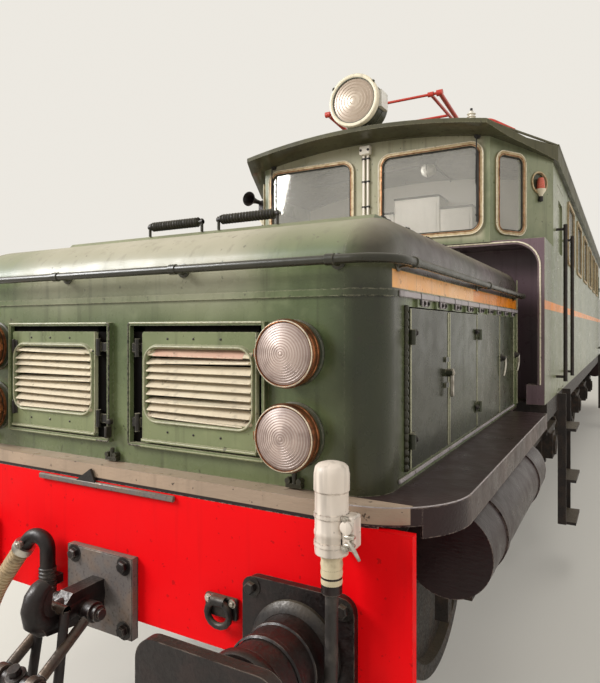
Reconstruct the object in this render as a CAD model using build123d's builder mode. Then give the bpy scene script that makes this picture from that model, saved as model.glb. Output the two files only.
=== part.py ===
from build123d import *
import math
import os

os.makedirs("parts", exist_ok=True)

# Electric locomotive on two three-axle bogies, in millimetres.
# X runs forward to end A, Y to its left and Z up. The origin is halfway along,
# on the centre line, at the lowest point of the wheel flanges.
# End B is end A turned half round about Z.

# Wheels and track
rail = 28.0
wheel_dia = 1400.0
wheel_back = 795.0
tyre_width = 135.0
axle_dia = 190.0
journal_dia = 160.0
axle_spacing = 2200.0
axle_z = rail + wheel_dia / 2

# Bogies
pivot_x = 4500.0
frame_in = 985.0
frame_thick = 80.0
frame_out = frame_in + frame_thick
frame_top = rail + 1180
frame_bottom = rail + 800
beam_x = 8600.0
beam_thick = 40.0
beam_half = 1390.0
beam_low = rail + 950
beam_high = rail + 1510
transom_back = 1100.0
transom_half = 90.0
axles = [pivot_x + axle_spacing, pivot_x, pivot_x - axle_spacing]

# Deck round the hood
deck_top = rail + 1580
deck_half = 1500.0
deck_plate = 14.0
deck_side_rim = 105.0
deck_rear = 5930.0
deck_corner = 350.0

# Hood
hood_front = 8500.0
hood_rear = 5600.0
hood_half = 1242.0
hood_wall = 30.0
hood_corner = 140.0
hood_top = rail + 2630
hood_edge_height = 200.0
hood_edge_depth = 340.0
hatch_front = 7990.0
hatch_half = 1000.0
hatch_top = rail + 2700
belt_z = rail + 2300
belt_proud = 10.0
rail_z = rail + 2425
seam_z = rail_z - 17
seam_y = 1103.0
seam_x = 8300.0

# Hood side doors
door_low = rail + 1620
door_high = rail + 2268
door_front = 8210.0
door_split = 7630.0
door_mid = 7015.0
door_split_rear = 6360.0
door_rear = 5770.0
door_gap = 6.0

# Louvre panels in the front of the hood
louvre_centres = [439.0, -452.0]
recess_centres = [418.0, -418.0]
louvre_width = 600.0
louvre_low = rail + 1690
louvre_high = rail + 2168
slat_width = 545.0
slat_low = rail + 1790
slat_high = rail + 2095
slat_corner = 60.0
slat_count = 9

# Hood lamps
lamp_y = 900.0
lamp_heights = [rail + 2090, rail + 1780]
lamp_dia = 250.0
lamp_proud = 100.0

# Body and cabs
body_half = 1450.0
wall = 50.0
floor_top = rail + 1600
sill_depth = 150.0
under_front = 5480.0
cab_rear = 4080.0
arch_front = 5630.0
arch_wall_x = 5250.0
arch_top = rail + 2842
arch_corner = 180.0
arch_foot = 150.0
arch_foot_in = 1318.0
shelf_top = rail + 2880
cab_front = 5650.0
cab_front_half = 1050.0
taper_rear = 5030.0
roof_front = 5920.0
roof_front_half = 1080.0
roof_half = 1490.0
roof_radius = 5550.0
ceiling_crown = rail + 3805
visor_crown = rail + 3865
roof_crown = rail + 3950
visor_rear = 5450.0
slope_rear = 4900.0

# Gap between pieces that seat on each other
seat_gap = 0.3

# Cab doors
cab_door_rear = 4120.0
cab_door_front = 4720.0
cab_door_high = rail + 3480

# Buffers, roof lamp and steps
buffer_y = 975.0
buffer_z = rail + 1050
buffer_length = 550.0
roof_lamp_dia = 430.0
roof_lamp_z = rail + 4090
roof_lamp_front = 5940.0

# Pantographs, folded
panto_x = 3600.0
panto_pivot = 250.0
panto_z = rail + 4170
arm_length = 1450.0
arm_angle = 4.0
arm_tube = 40.0
lower_arm_y = 550.0
upper_arm_y = 470.0
pin_dia = 24.0
pin_fit = 0.3

# Share of a hose's shorter run that a bend takes
run_share = 0.45


def block(x, y, z, mode=Mode.ADD):
    """A box between the two values of each pair."""
    with Locations(((x[0] + x[1]) / 2, (y[0] + y[1]) / 2, (z[0] + z[1]) / 2)):
        Box(abs(x[1] - x[0]), abs(y[1] - y[0]), abs(z[1] - z[0]), mode=mode)


def rod(start, end, diameter, mode=Mode.ADD):
    """A round bar from one point to another."""
    path = Vector(*end) - Vector(*start)
    with BuildSketch(Plane(origin=start, z_dir=path)) as end_face:
        Circle(diameter / 2)
    extrude(end_face.sketch, amount=path.length, mode=mode)


def wall_plane(x, y, z, nx, ny):
    """A plane that stands on a wall and looks outward, with its Y axis up."""
    return Plane(origin=(x, y, z), x_dir=(-ny, nx, 0), z_dir=(nx, ny, 0))


def panels(piece, zones):
    """The sheets of a piece that is cut at its joints, one for each zone."""
    sheets = []
    for x, y, z in zones:
        with BuildPart() as sheet:
            add(piece)
            block(x, y, z, mode=Mode.INTERSECT)
        sheets.extend(sheet.part.solids())
    return sheets


def bend_radii(points):
    """The widest bend that the two runs at each inner point of a hose allow."""
    radii = []
    for before, at, after in zip(points, points[1:], points[2:]):
        run_in = Vector(*at) - Vector(*before)
        run_out = Vector(*after) - Vector(*at)
        half_turn = math.radians(run_in.get_angle(run_out) / 2)
        radii.append(run_share * min(run_in.length, run_out.length) / math.tan(half_turn))
    return radii


def write(piece, name):
    """Label a finished piece and write its file."""
    piece.label = name
    export_step(piece, f"parts/{name}.step")


def write_ends(piece, name):
    """Write a piece of end A, and its copy turned half round for end B."""
    write(piece, f"{name}_a")
    write(piece.rotate(Axis.Z, 180), f"{name}_b")


# Wheelsets
tread = wheel_dia / 2
hub_r = 170.0
web_in = wheel_back + 45
web_out = wheel_back + 75
tyre_out = wheel_back + tyre_width
journal_end = 1140.0
for number, axle_x in enumerate(axles, start=1):
    with BuildPart() as wheelset:
        with BuildSketch(Plane.YZ.offset(axle_x)):
            with BuildLine():
                Polyline(
                    (0, axle_z),
                    (0, axle_z + axle_dia / 2),
                    (wheel_back - 15, axle_z + axle_dia / 2),
                    (wheel_back - 15, axle_z + hub_r),
                    (web_in, axle_z + hub_r),
                    (web_in, axle_z + tread - 100),
                    (wheel_back, axle_z + tread - 90),
                    (wheel_back, axle_z + tread + rail - 12),
                    (wheel_back + 8, axle_z + tread + rail),
                    (wheel_back + 20, axle_z + tread + rail),
                    (wheel_back + 32, axle_z + tread + 6),
                    (wheel_back + 46, axle_z + tread),
                    (tyre_out, axle_z + tread - 6),
                    (tyre_out, axle_z + tread - 90),
                    (web_out, axle_z + tread - 100),
                    (web_out, axle_z + hub_r),
                    (tyre_out + 12, axle_z + hub_r),
                    (tyre_out + 12, axle_z + journal_dia / 2),
                    (journal_end, axle_z + journal_dia / 2),
                    (journal_end, axle_z),
                    close=True,
                )
            make_face()
        revolve(axis=Axis((axle_x, 0, axle_z), (0, 1, 0)))
        mirror(about=Plane.XZ)
    write_ends(wheelset.part, f"wheelset_{number}")

# Bogie frame
box_gap_half = 165.0
pedestal_half = 250.0
pedestal_low = rail + 430
frame_rear = axles[2] - transom_back - transom_half
frame_front = beam_x - beam_thick
beam_flange = 80.0
transom_low = rail + 560
center_beam_half = 260.0
pivot_plate_z = rail + 1320
bearer_half = 140.0
with BuildPart() as bogie_frame:
    with BuildSketch(Plane.XZ.offset(-frame_out)):
        with Locations(((frame_rear + frame_front) / 2, (frame_bottom + frame_top) / 2)):
            Rectangle(frame_front - frame_rear, frame_top - frame_bottom)
        for axle_x in axles:
            with Locations((axle_x, (pedestal_low + frame_bottom) / 2 + 20)):
                Rectangle(2 * pedestal_half, frame_bottom - pedestal_low + 40)
        for axle_x in axles:
            with Locations((axle_x, pedestal_low + 265)):
                Rectangle(2 * box_gap_half, 530, mode=Mode.SUBTRACT)
        for gap_x in [axles[0] - 550, axles[0] - 1650, axles[1] - 550 - 1100]:
            with Locations((gap_x, (frame_bottom + frame_top) / 2)):
                SlotOverall(520, 190, mode=Mode.SUBTRACT)
    extrude(amount=frame_thick)
    mirror(about=Plane.XZ)
    for axle_x in axles:
        x_mid = axle_x - transom_back
        block((x_mid - transom_half, x_mid + transom_half), (-frame_in, frame_in), (transom_low, frame_top))
    block((7820, 8000), (-frame_in, frame_in), (rail + 900, frame_top))
    for side in (-1, 1):
        for x_out in (5650, 7910, 8420):
            with BuildSketch(Plane.YZ.offset(x_out - 20)):
                with BuildLine():
                    Polyline(
                        (side * frame_in, frame_top - 60),
                        (side * frame_out, frame_top - 60),
                        (side * (hood_half - 20), deck_top - deck_side_rim - 10),
                        (side * (hood_half - 20), deck_top - deck_plate),
                        (side * frame_in, deck_top - deck_plate),
                        close=True,
                    )
                make_face()
            extrude(amount=40)
        block(
            (pivot_x - bearer_half, pivot_x + bearer_half),
            (side * frame_in, side * frame_out),
            (frame_top, floor_top - sill_depth - seat_gap),
        )
    block((7890, 7930), (-frame_in, frame_in), (frame_top - 60, deck_top - deck_plate))
    block((5630, 5670), (-frame_in, frame_in), (frame_top - 60, deck_top - deck_plate))
    block(
        (axles[1] - transom_back, axles[0] - transom_back),
        (-center_beam_half, center_beam_half),
        (pivot_plate_z - 120, pivot_plate_z),
    )
    for x_mid in (axles[0] - transom_back, axles[1] - transom_back):
        block((x_mid - transom_half, x_mid + transom_half), (-600, 600), (frame_top - 10, pivot_plate_z))
write_ends(bogie_frame.part, "bogie_frame")

# Red buffer beam
with BuildPart() as buffer_beam:
    with BuildSketch(Plane.YZ.offset(frame_front)):
        with Locations((0, (beam_low + beam_high) / 2)):
            Rectangle(2 * beam_half, beam_high - beam_low)
    extrude(amount=beam_thick)
    for z_low, z_high in ((beam_low, beam_low + 30), (beam_high - 30, beam_high)):
        block((frame_front - beam_flange, frame_front), (-frame_in + 5, frame_in - 5), (z_low, z_high))
write_ends(buffer_beam.part, "buffer_beam")

# Traction motors, one behind each axle
motor_back = 560.0
motor_dia = 850.0
motor_half = 480.0
nose_half = 180.0
with BuildPart() as motors:
    for axle_x in axles:
        barrel = Plane.XZ.offset(-motor_half)
        with BuildSketch(barrel):
            with Locations((axle_x - motor_back, axle_z)):
                RectangleRounded(motor_dia, motor_dia - 60, 190)
        extrude(amount=2 * motor_half)
        nose_x = axle_x - transom_back + transom_half
        barrel_rear = axle_x - motor_back - motor_dia / 2
        block((nose_x, barrel_rear - seat_gap), (-nose_half, nose_half), (axle_z - 90, axle_z + 90))
write_ends(motors.part, "traction_motors")

# Axleboxes, springs and brakes
box_half = box_gap_half - 4
box_out = journal_end + 45
box_low = axle_z - 150
box_high = axle_z + 165
spring_low = box_high
spring_half_width = 45.0
spring_y = frame_out + 55
leaf_thick = 22.0
leaf_halves = [520.0, 420.0, 320.0, 220.0]
shoe_clear = 6.0
shoe_thick = 55.0
shoe_half = 35.0
hanger_top = frame_top - 70
with BuildPart() as running_gear:
    for side in (-1, 1):
        for axle_x in axles:
            block(
                (axle_x - box_half, axle_x + box_half),
                (side * (tyre_out + 40), side * box_out),
                (box_low, box_high),
            )
            with BuildSketch(Plane.XZ.offset(-side * box_out)):
                with Locations((axle_x, axle_z)):
                    Circle(120)
            extrude(amount=-side * 30)
            rod(
                (axle_x, side * (tyre_out + 20), axle_z),
                (axle_x, side * (journal_end + 8), axle_z),
                journal_dia + 2,
                mode=Mode.SUBTRACT,
            )
            for count, leaf_half in enumerate(leaf_halves):
                leaf_z = spring_low + (len(leaf_halves) - 1 - count) * leaf_thick
                block(
                    (axle_x - leaf_half, axle_x + leaf_half),
                    (side * (spring_y - spring_half_width), side * (spring_y + spring_half_width)),
                    (leaf_z, leaf_z + leaf_thick),
                )
            for end in (-1, 1):
                hang_x = axle_x + end * (leaf_halves[0] - 30)
                hang_z = spring_low + (len(leaf_halves) - 1) * leaf_thick
                block(
                    (hang_x - 25, hang_x + 25),
                    (side * frame_out, side * (spring_y + spring_half_width - 10)),
                    (hang_z - 40, hang_z + 60),
                )
                shoe_y = side * (tyre_out - 10 - shoe_half)
                with BuildSketch(Plane.XZ.offset(-shoe_y - shoe_half)):
                    with Locations((axle_x, axle_z)):
                        Circle(tread + shoe_clear + shoe_thick)
                        Circle(tread + shoe_clear, mode=Mode.SUBTRACT)
                        with Locations((end * tread, 0)):
                            Rectangle(2 * shoe_thick + 200, 380, mode=Mode.INTERSECT)
                extrude(amount=2 * shoe_half)
                hang_x = axle_x + end * (tread + shoe_clear + 30)
                block((hang_x - 22, hang_x + 22), (shoe_y - 15, shoe_y + 15), (axle_z, hanger_top))
                rod((hang_x, side * frame_in, hanger_top), (hang_x, side * wheel_back, hanger_top), 50)
write_ends(running_gear.part, "running_gear")

# Deck, with an air tank below each side
tank_y = 1300.0
tank_z = rail + 1190
tank_dia = 400.0
tank_x = (6000.0, 7850.0)
strap_wide = 60.0
with BuildPart() as deck:
    with BuildSketch(Plane.XY.offset(deck_top - deck_side_rim)):
        with Locations(((deck_rear + beam_x) / 2, 0)):
            Rectangle(beam_x - deck_rear, 2 * deck_half)
    extrude(amount=deck_side_rim)
    fillet(deck.edges().filter_by(Axis.Z).group_by(Axis.X)[-1], deck_corner)
    with BuildSketch(Plane.XY.offset(deck_top - deck_side_rim)):
        with Locations(((deck_rear + beam_x) / 2, 0)):
            Rectangle(beam_x - deck_rear - 40, 2 * deck_half - 40)
    extrude(amount=deck_side_rim - deck_plate, mode=Mode.SUBTRACT)
    block(
        (beam_x - deck_corner, beam_x + 10),
        (-beam_half, beam_half),
        (deck_top - deck_side_rim, beam_high),
        mode=Mode.SUBTRACT,
    )
    block((hood_rear, deck_rear + 20), (-hood_half, hood_half), (deck_top - deck_plate, deck_top))
    for side in (-1, 1):
        rod((tank_x[0], side * tank_y, tank_z), (tank_x[1], side * tank_y, tank_z), tank_dia)
        for strap_x in (tank_x[0] + 350, tank_x[1] - 350):
            rod(
                (strap_x - strap_wide / 2, side * tank_y, tank_z),
                (strap_x + strap_wide / 2, side * tank_y, tank_z),
                tank_dia + 16,
            )
            block(
                (strap_x - strap_wide / 2, strap_x + strap_wide / 2),
                (side * (tank_y - 100), side * (tank_y + 100)),
                (tank_z + 170, deck_top - deck_plate - seat_gap),
            )
write_ends(deck.part, "deck")


def hood_form(inset, low):
    """The hood's outer form, or that form inset all round."""
    rear = hood_rear + inset
    front = hood_front - inset
    top = hood_top - inset
    half = hood_half - inset
    with BuildPart() as form:
        with BuildSketch(Plane.XY.offset(low)):
            with Locations(((rear + front) / 2, 0)):
                Rectangle(front - rear, 2 * half)
        extrude(amount=top - low)
        with BuildSketch(Plane.XZ.offset(-hood_half)):
            with BuildLine():
                floor_line = Line((rear, low), (front, low))
                Line(floor_line @ 1, (front, top - hood_edge_height))
                EllipticalCenterArc(
                    (front - hood_edge_depth, top - hood_edge_height),
                    hood_edge_depth,
                    hood_edge_height,
                    start_angle=0,
                    arc_size=90,
                )
                top_line = Line((front - hood_edge_depth, top), (rear, top))
                Line(top_line @ 1, floor_line @ 0)
            make_face()
        extrude(amount=2 * hood_half, mode=Mode.INTERSECT)
        corners = form.edges().filter_by(Axis.Z).group_by(Axis.X)[-1]
        roof_edges = form.edges().filter_by(Axis.X).group_by(Axis.Z)[-1]
        fillet(corners + roof_edges, hood_corner - inset)
    return form.part


# Hood
hood_outer = hood_form(0, deck_top)
hood_inner = hood_form(hood_wall, deck_top)
surround_proud = 25.0
surround_wide = 14.0
recess_half = 346.0
recess_low = rail + 1680
recess_high = rail + 2195
leaf_proud = 8.0
hinge_long = 60.0
hinge_pad = 30.0
hinge_heights = [door_low + 90, door_high - 150]
strip_count = 9
strip_block = 90.0
strip_proud = leaf_proud + 4
with BuildPart() as hood:
    add(hood_outer)
    with BuildSketch(Plane.XY.offset(hood_top - 60)):
        with Locations(((hood_rear + hatch_front) / 2, 0)):
            Rectangle(hatch_front - hood_rear, 2 * hatch_half)
    extrude(amount=hatch_top - hood_top + 60)
    chamfer(hood.edges().filter_by(Axis.Y).group_by(Axis.Z)[-1].sort_by(Axis.X)[-1], 45)
    with BuildSketch(Plane.XY.offset(belt_z)) as belt:
        with Locations(((hood_rear + hood_front) / 2, 0)):
            Rectangle(hood_front - hood_rear, 2 * hood_half)
        fillet(belt.vertices().group_by(Axis.X)[-1], hood_corner)
        offset(amount=belt_proud)
        with Locations((hood_rear - 50, 0)):
            Rectangle(100, 3 * hood_half, mode=Mode.SUBTRACT)
    extrude(amount=26)
    add(hood_inner, mode=Mode.SUBTRACT)
    for center_y, recess_y in zip(louvre_centres, recess_centres):
        with BuildSketch(Plane.YZ.offset(hood_front - 5)):
            with Locations((recess_y, (recess_low + recess_high) / 2)):
                Rectangle(2 * recess_half + 2 * surround_wide, recess_high - recess_low + 2 * surround_wide)
                Rectangle(2 * recess_half, recess_high - recess_low, mode=Mode.SUBTRACT)
        extrude(amount=surround_proud + 5)
        with BuildSketch(Plane.YZ.offset(hood_front - 2 * hood_wall)):
            with Locations((center_y, (slat_low + slat_high) / 2)):
                RectangleRounded(slat_width + 10, slat_high - slat_low + 10, slat_corner + 5)
        extrude(amount=3 * hood_wall, mode=Mode.SUBTRACT)
    for side in (-1, 1):
        block(
            (door_mid, door_front),
            (side * (hood_half - 2 * hood_wall), side * (hood_half + 40)),
            (door_low, door_high),
            mode=Mode.SUBTRACT,
        )
        for x_low, x_high in ((door_rear, door_split_rear), (door_split_rear, door_mid)):
            block(
                (x_low + door_gap, x_high - door_gap),
                (side * (hood_half - 4), side * (hood_half + leaf_proud)),
                (door_low, door_high),
            )
        for post_x in (door_front, door_mid - hinge_pad):
            for hinge_z in hinge_heights:
                block(
                    (post_x, post_x + hinge_pad),
                    (side * (hood_half - 4), side * (hood_half + leaf_proud - seat_gap)),
                    (hinge_z, hinge_z + hinge_long),
                )
        for count in range(strip_count):
            x = door_rear + (count + 0.5) * (door_front - door_rear) / strip_count
            block(
                (x - strip_block / 2, x + strip_block / 2),
                (side * (hood_half - 4), side * (hood_half + strip_proud)),
                (door_high + seat_gap, belt_z - seat_gap),
            )
brow_x = hood_front - hood_edge_depth
edge_y = hood_half - hood_edge_height
hood_floor = (deck_top - 1, seam_z - seat_gap)
hood_roof = (seam_z, hatch_top + 10)
hood_back = (hood_rear + hood_wall + seat_gap, seam_x - seat_gap)
roof_back = (hood_rear + hood_wall + seat_gap, brow_x - seat_gap)
nose = (seam_x, hood_front + 100)
brow = (brow_x, hood_front + 100)
outside = hood_half + 100
hood_zones = [
    (nose, (-seam_y + seat_gap, seam_y - seat_gap), hood_floor),
    ((hood_rear - 10, hood_rear + hood_wall), (-outside, outside), (deck_top - 1, hatch_top + 10)),
    (roof_back, (-edge_y + seat_gap, edge_y - seat_gap), hood_roof),
]
for side in (-1, 1):
    hood_zones.append((nose, (side * seam_y, side * outside), hood_floor))
    hood_zones.append((hood_back, (side * seam_y, side * outside), hood_floor))
    hood_zones.append((roof_back, (side * edge_y, side * outside), hood_roof))
    hood_zones.append((brow, (side * seat_gap / 2, side * (seam_y - seat_gap)), hood_roof))
    hood_zones.append((brow, (side * seam_y, side * outside), hood_roof))
write_ends(Compound(panels(hood.part, hood_zones)), "hood")

# Hood side doors: the front pair of leaves on each side
hinge_dia = 26.0
hinge_y = hood_half + leaf_proud + hinge_dia / 2
latch_in = 48.0
latch_z = (door_low + door_high) / 2 + 30
latch_long = 110.0
leaf_spans = {"front": (door_split, door_front, 1), "rear": (door_mid, door_split, -1)}
for side_name, side in (("left", 1), ("right", -1)):
    for leaf_name, (x_low, x_high, hinge_end) in leaf_spans.items():
        hinge_x = x_high + 2 if hinge_end > 0 else x_low - 2
        with BuildPart() as leaf:
            block(
                (x_low + door_gap, x_high - door_gap),
                (side * (hood_half + leaf_proud - hood_wall), side * (hood_half + leaf_proud)),
                (door_low + door_gap, door_high - door_gap),
            )
            for hinge_z in hinge_heights:
                rod(
                    (hinge_x, side * hinge_y, hinge_z),
                    (hinge_x, side * hinge_y, hinge_z + hinge_long),
                    hinge_dia,
                )
                block(
                    (hinge_x - hinge_end * 60, hinge_x),
                    (side * (hood_half + leaf_proud), side * (hood_half + leaf_proud + 8)),
                    (hinge_z, hinge_z + hinge_long),
                )
            if leaf_name == "front":
                latch_x = x_low + latch_in
                latch_y = side * (hood_half + leaf_proud)
                rod((latch_x, latch_y, latch_z), (latch_x, latch_y + side * 34, latch_z), 36)
                block(
                    (latch_x - 12, latch_x + 12),
                    (latch_y + side * 22, latch_y + side * 34),
                    (latch_z - latch_long, latch_z + 20),
                )
                for bolt_z in (latch_z - 70, latch_z + 50):
                    block(
                        (latch_x - 30, latch_x + 30),
                        (latch_y, latch_y + side * 8),
                        (bolt_z, bolt_z + 24),
                    )
        write_ends(leaf.part, f"hood_door_{side_name}_{leaf_name}")

# Louvre panels: each slat's turn about the louvre's normal and its tilt, in degrees,
# from the lowest slat up. The slats are bent and no two hang alike.
panel_thick = 18.0
slat_wide = 36.0
slat_thick = 5.0
rim_wide = 20.0
rim_proud = 9.0
slat_pitch = (slat_high - slat_low) / slat_count
slat_turns = {
    1: [-0.9, -0.4, 0.5, -0.2, 0.1, -0.3, 0.2, 0.9, -0.2],
    -1: [0.3, -0.1, -0.5, -0.2, 0.9, 0.2, -0.7, 0.1, -0.6],
}
slat_tilts = {
    1: [30, 42, 26, 38, 40, 36, 40, 24, 46],
    -1: [34, 40, 36, 40, 24, 42, 34, 38, 28],
}
louvre_hinge_z = [louvre_low + 60, louvre_high - 90]
with BuildPart() as louvres:
    for center_y, recess_y in zip(louvre_centres, recess_centres):
        with BuildSketch(Plane.YZ.offset(hood_front)):
            with Locations((center_y, (louvre_low + louvre_high) / 2)):
                RectangleRounded(louvre_width, louvre_high - louvre_low, 12)
            with Locations((center_y, (slat_low + slat_high) / 2)):
                RectangleRounded(slat_width, slat_high - slat_low, slat_corner, mode=Mode.SUBTRACT)
        extrude(amount=panel_thick)
        with BuildSketch(Plane.YZ.offset(hood_front + panel_thick)):
            with Locations((center_y, (slat_low + slat_high) / 2)):
                RectangleRounded(
                    slat_width + 2 * rim_wide,
                    slat_high - slat_low + 2 * rim_wide,
                    slat_corner + rim_wide,
                )
                RectangleRounded(slat_width, slat_high - slat_low, slat_corner, mode=Mode.SUBTRACT)
        extrude(amount=rim_proud, taper=40)
        lean = 1 if center_y > 0 else -1
        for count in range(slat_count):
            slat_z = slat_low + (count + 0.5) * slat_pitch
            turn = slat_turns[lean][count]
            tilt = slat_tilts[lean][count]
            with Locations(Location((hood_front + panel_thick / 2, center_y, slat_z), (turn, tilt, 0))):
                Box(slat_wide, slat_width + 4, slat_thick)
        with BuildSketch(Plane.YZ.offset(hood_front - 40)):
            with Locations((center_y, (slat_low + slat_high) / 2)):
                Rectangle(slat_width + 40, slat_high - slat_low + 40)
                RectangleRounded(slat_width + 1, slat_high - slat_low + 1, slat_corner, mode=Mode.SUBTRACT)
        extrude(amount=40, mode=Mode.SUBTRACT)
        block(
            (hood_front + panel_thick, hood_front + panel_thick + 8),
            (center_y - louvre_width / 2, center_y + louvre_width / 2),
            (louvre_low, louvre_low + 12),
        )
        panel_edge = center_y - lean * louvre_width / 2
        recess_edge = recess_y - lean * recess_half
        for hinge_z in louvre_hinge_z:
            block(
                (hood_front, hood_front + panel_thick),
                (recess_edge + lean * 6, panel_edge),
                (hinge_z, hinge_z + 40),
            )
            rod(
                (hood_front + panel_thick + 4, panel_edge - lean * 24, hinge_z - 20),
                (hood_front + panel_thick + 4, panel_edge - lean * 24, hinge_z + 60),
                24,
            )
write_ends(louvres.part, "louvres")

# Hood lamps, handrail round the hood and catches
rail_off = 68.0
rail_dia = 34.0
rail_post_dia = 26.0
rail_end = 5720.0
hatch_springs = [(118.0, 494.0), (-361.0, 23.0)]
hatch_spring_z = hatch_top + 52
hatch_coil_dia = 50.0
coil_pitch = 18.0
catch_places = [-950.0, -46.0, 905.0]
lens_half = lamp_dia / 2 - 14
lens_rise = 20.0
lens_radius = (lens_half**2 + lens_rise**2) / (2 * lens_rise)
lens_angle = math.degrees(math.asin(lens_half / lens_radius))
lens_tip = lamp_proud - 8 + lens_rise
with BuildPart() as fittings:
    for side in (-1, 1):
        for lamp_z in lamp_heights:
            lamp_seat = (hood_front, side * lamp_y, lamp_z)
            with BuildSketch(Plane(origin=lamp_seat, x_dir=(1, 0, 0), z_dir=(0, -1, 0))):
                with BuildLine():
                    back = Line((0, 0), (0, lamp_dia / 2 - 6))
                    barrel = Line(back @ 1, (lamp_proud - 30, lamp_dia / 2 - 6))
                    Polyline(
                        barrel @ 1,
                        (lamp_proud - 30, lamp_dia / 2),
                        (lamp_proud - 8, lamp_dia / 2),
                        (lamp_proud - 8, lens_half),
                    )
                    CenterArc((lens_tip - lens_radius, 0), lens_radius, 0, lens_angle)
                    Line((lens_tip, 0), back @ 0)
                make_face()
            revolve(axis=Axis(lamp_seat, (1, 0, 0)))
    bend = 150.0
    with BuildLine(Plane.XY.offset(rail_z)) as rail_path:
        FilletPolyline(
            (rail_end, -(hood_half + rail_off)),
            (hood_front + rail_off, -(hood_half + rail_off)),
            (hood_front + rail_off, hood_half + rail_off),
            (rail_end, hood_half + rail_off),
            radius=bend,
        )
    with BuildSketch(Plane(origin=(rail_end, -(hood_half + rail_off), rail_z), z_dir=(1, 0, 0))):
        Circle(rail_dia / 2)
    sweep(path=rail_path.wires()[0])
    for side in (-1, 1):
        for post_x in (rail_end + 40, 7000, 8330):
            rod(
                (post_x, side * (hood_half + seat_gap), rail_z),
                (post_x, side * (hood_half + rail_off), rail_z),
                rail_post_dia,
            )
    for post_y in (-1080, -360, 360, 1080):
        rod((hood_front + seat_gap, post_y, rail_z), (hood_front + rail_off, post_y, rail_z), rail_post_dia)
    for spring_y_low, spring_y_high in hatch_springs:
        spring_x = hatch_front - 40
        spring_seat = (spring_x, spring_y_low, hatch_spring_z)
        with BuildSketch(Plane(origin=spring_seat, x_dir=(0, 1, 0), z_dir=(-1, 0, 0))):
            with BuildLine():
                coils = round((spring_y_high - spring_y_low - 60) / coil_pitch)
                outline = [(0, 0), (0, 9), (30, 9)]
                for count in range(coils):
                    outline.append((30 + (count + 0.25) * coil_pitch, hatch_coil_dia / 2))
                    outline.append((30 + (count + 0.75) * coil_pitch, hatch_coil_dia / 2 - 6))
                outline.append((30 + coils * coil_pitch, 9))
                outline.append((60 + coils * coil_pitch, 9))
                outline.append((60 + coils * coil_pitch, 0))
                Polyline(*outline, close=True)
            make_face()
        revolve(axis=Axis(spring_seat, (0, 1, 0)))
        for y in (spring_y_low + 8, spring_y_high - 8):
            rod((spring_x, y, hatch_top + seat_gap), (spring_x, y, hatch_spring_z + 16), 16)
    for catch_y in catch_places:
        block(
            (hood_front + seat_gap, hood_front + 26),
            (catch_y - 34, catch_y + 34),
            (deck_top + 6, deck_top + 22),
        )
        rod((hood_front + 16, catch_y, deck_top + 6), (hood_front + 16, catch_y, deck_top + 62), 20)
        for side in (-1, 1):
            y = catch_y + side * 24
            rod((hood_front + seat_gap, y, deck_top + 32), (hood_front + 30, y, deck_top + 32), 22)
            rod((hood_front + 16, y, deck_top + 20), (hood_front + 16, y, deck_top + 44), 14)
high = hatch_top + 200
low = deck_top - 10
far = hood_half + 2 * rail_off
fitting_zones = [
    ((seam_x, beam_x), (-far, far), (low, high)),
    ((hatch_front - 100, seam_x - seat_gap), (-900, 900), (low, high)),
]
for side in (-1, 1):
    fitting_zones.append(((rail_end - 10, seam_x - seat_gap), (side * edge_y, side * far), (low, high)))
write_ends(Compound(panels(fittings.part, fitting_zones)), "hood_fittings")

# Buffers, draw hook and screw coupling
coupler_top = rail + 1220
hook_z = rail + 1050
jumper_y = 1150.0
jumper_x = beam_x + 100
jumper_low = rail + 1450
jumper_high = rail + 1730
jumper_dia = 108.0
sleeve_low = rail + 1320
sleeve_dia = 70.0
neck_dia = 66.0
hose_dia = 72.0
lead_dia = 44.0
clamp_long = 26.0
hose_points = [
    (beam_x + 90, -440, rail + 1165),
    (beam_x + 105, -520, rail + 1060),
    (beam_x + 125, -590, rail + 945),
    (beam_x + 140, -635, rail + 815),
    (beam_x + 148, -652, rail + 675),
    (beam_x + 150, -650, rail + 540),
]
hose_way = (Vector(*hose_points[1]) - Vector(*hose_points[0])).normalized()
neck_top = Vector(*hose_points[0]) - hose_way * 105
neck_points = [
    (beam_x + 68, -290, rail + 870),
    (beam_x + 68, -290, rail + 1225),
    tuple(neck_top),
    hose_points[0],
]
lead_points = [
    (jumper_x, jumper_y, sleeve_low),
    (jumper_x, jumper_y, rail + 1185),
    (jumper_x + 8, jumper_y + 1, rail + 1055),
    (jumper_x + 9, jumper_y - 1, rail + 925),
    (jumper_x + 5, jumper_y - 3, rail + 790),
    (jumper_x - 22, jumper_y - 8, rail + 690),
    (jumper_x - 95, jumper_y - 15, rail + 617),
    (jumper_x - 195, jumper_y - 22, rail + 590),
    (jumper_x - 295, jumper_y - 29, rail + 617),
    (jumper_x - 368, jumper_y - 36, rail + 690),
    (jumper_x - 395, jumper_y - 39, rail + 790),
    (jumper_x - 390, jumper_y - 40, rail + 885),
    (jumper_x - 390, jumper_y - 40, rail + 980),
]
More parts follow.
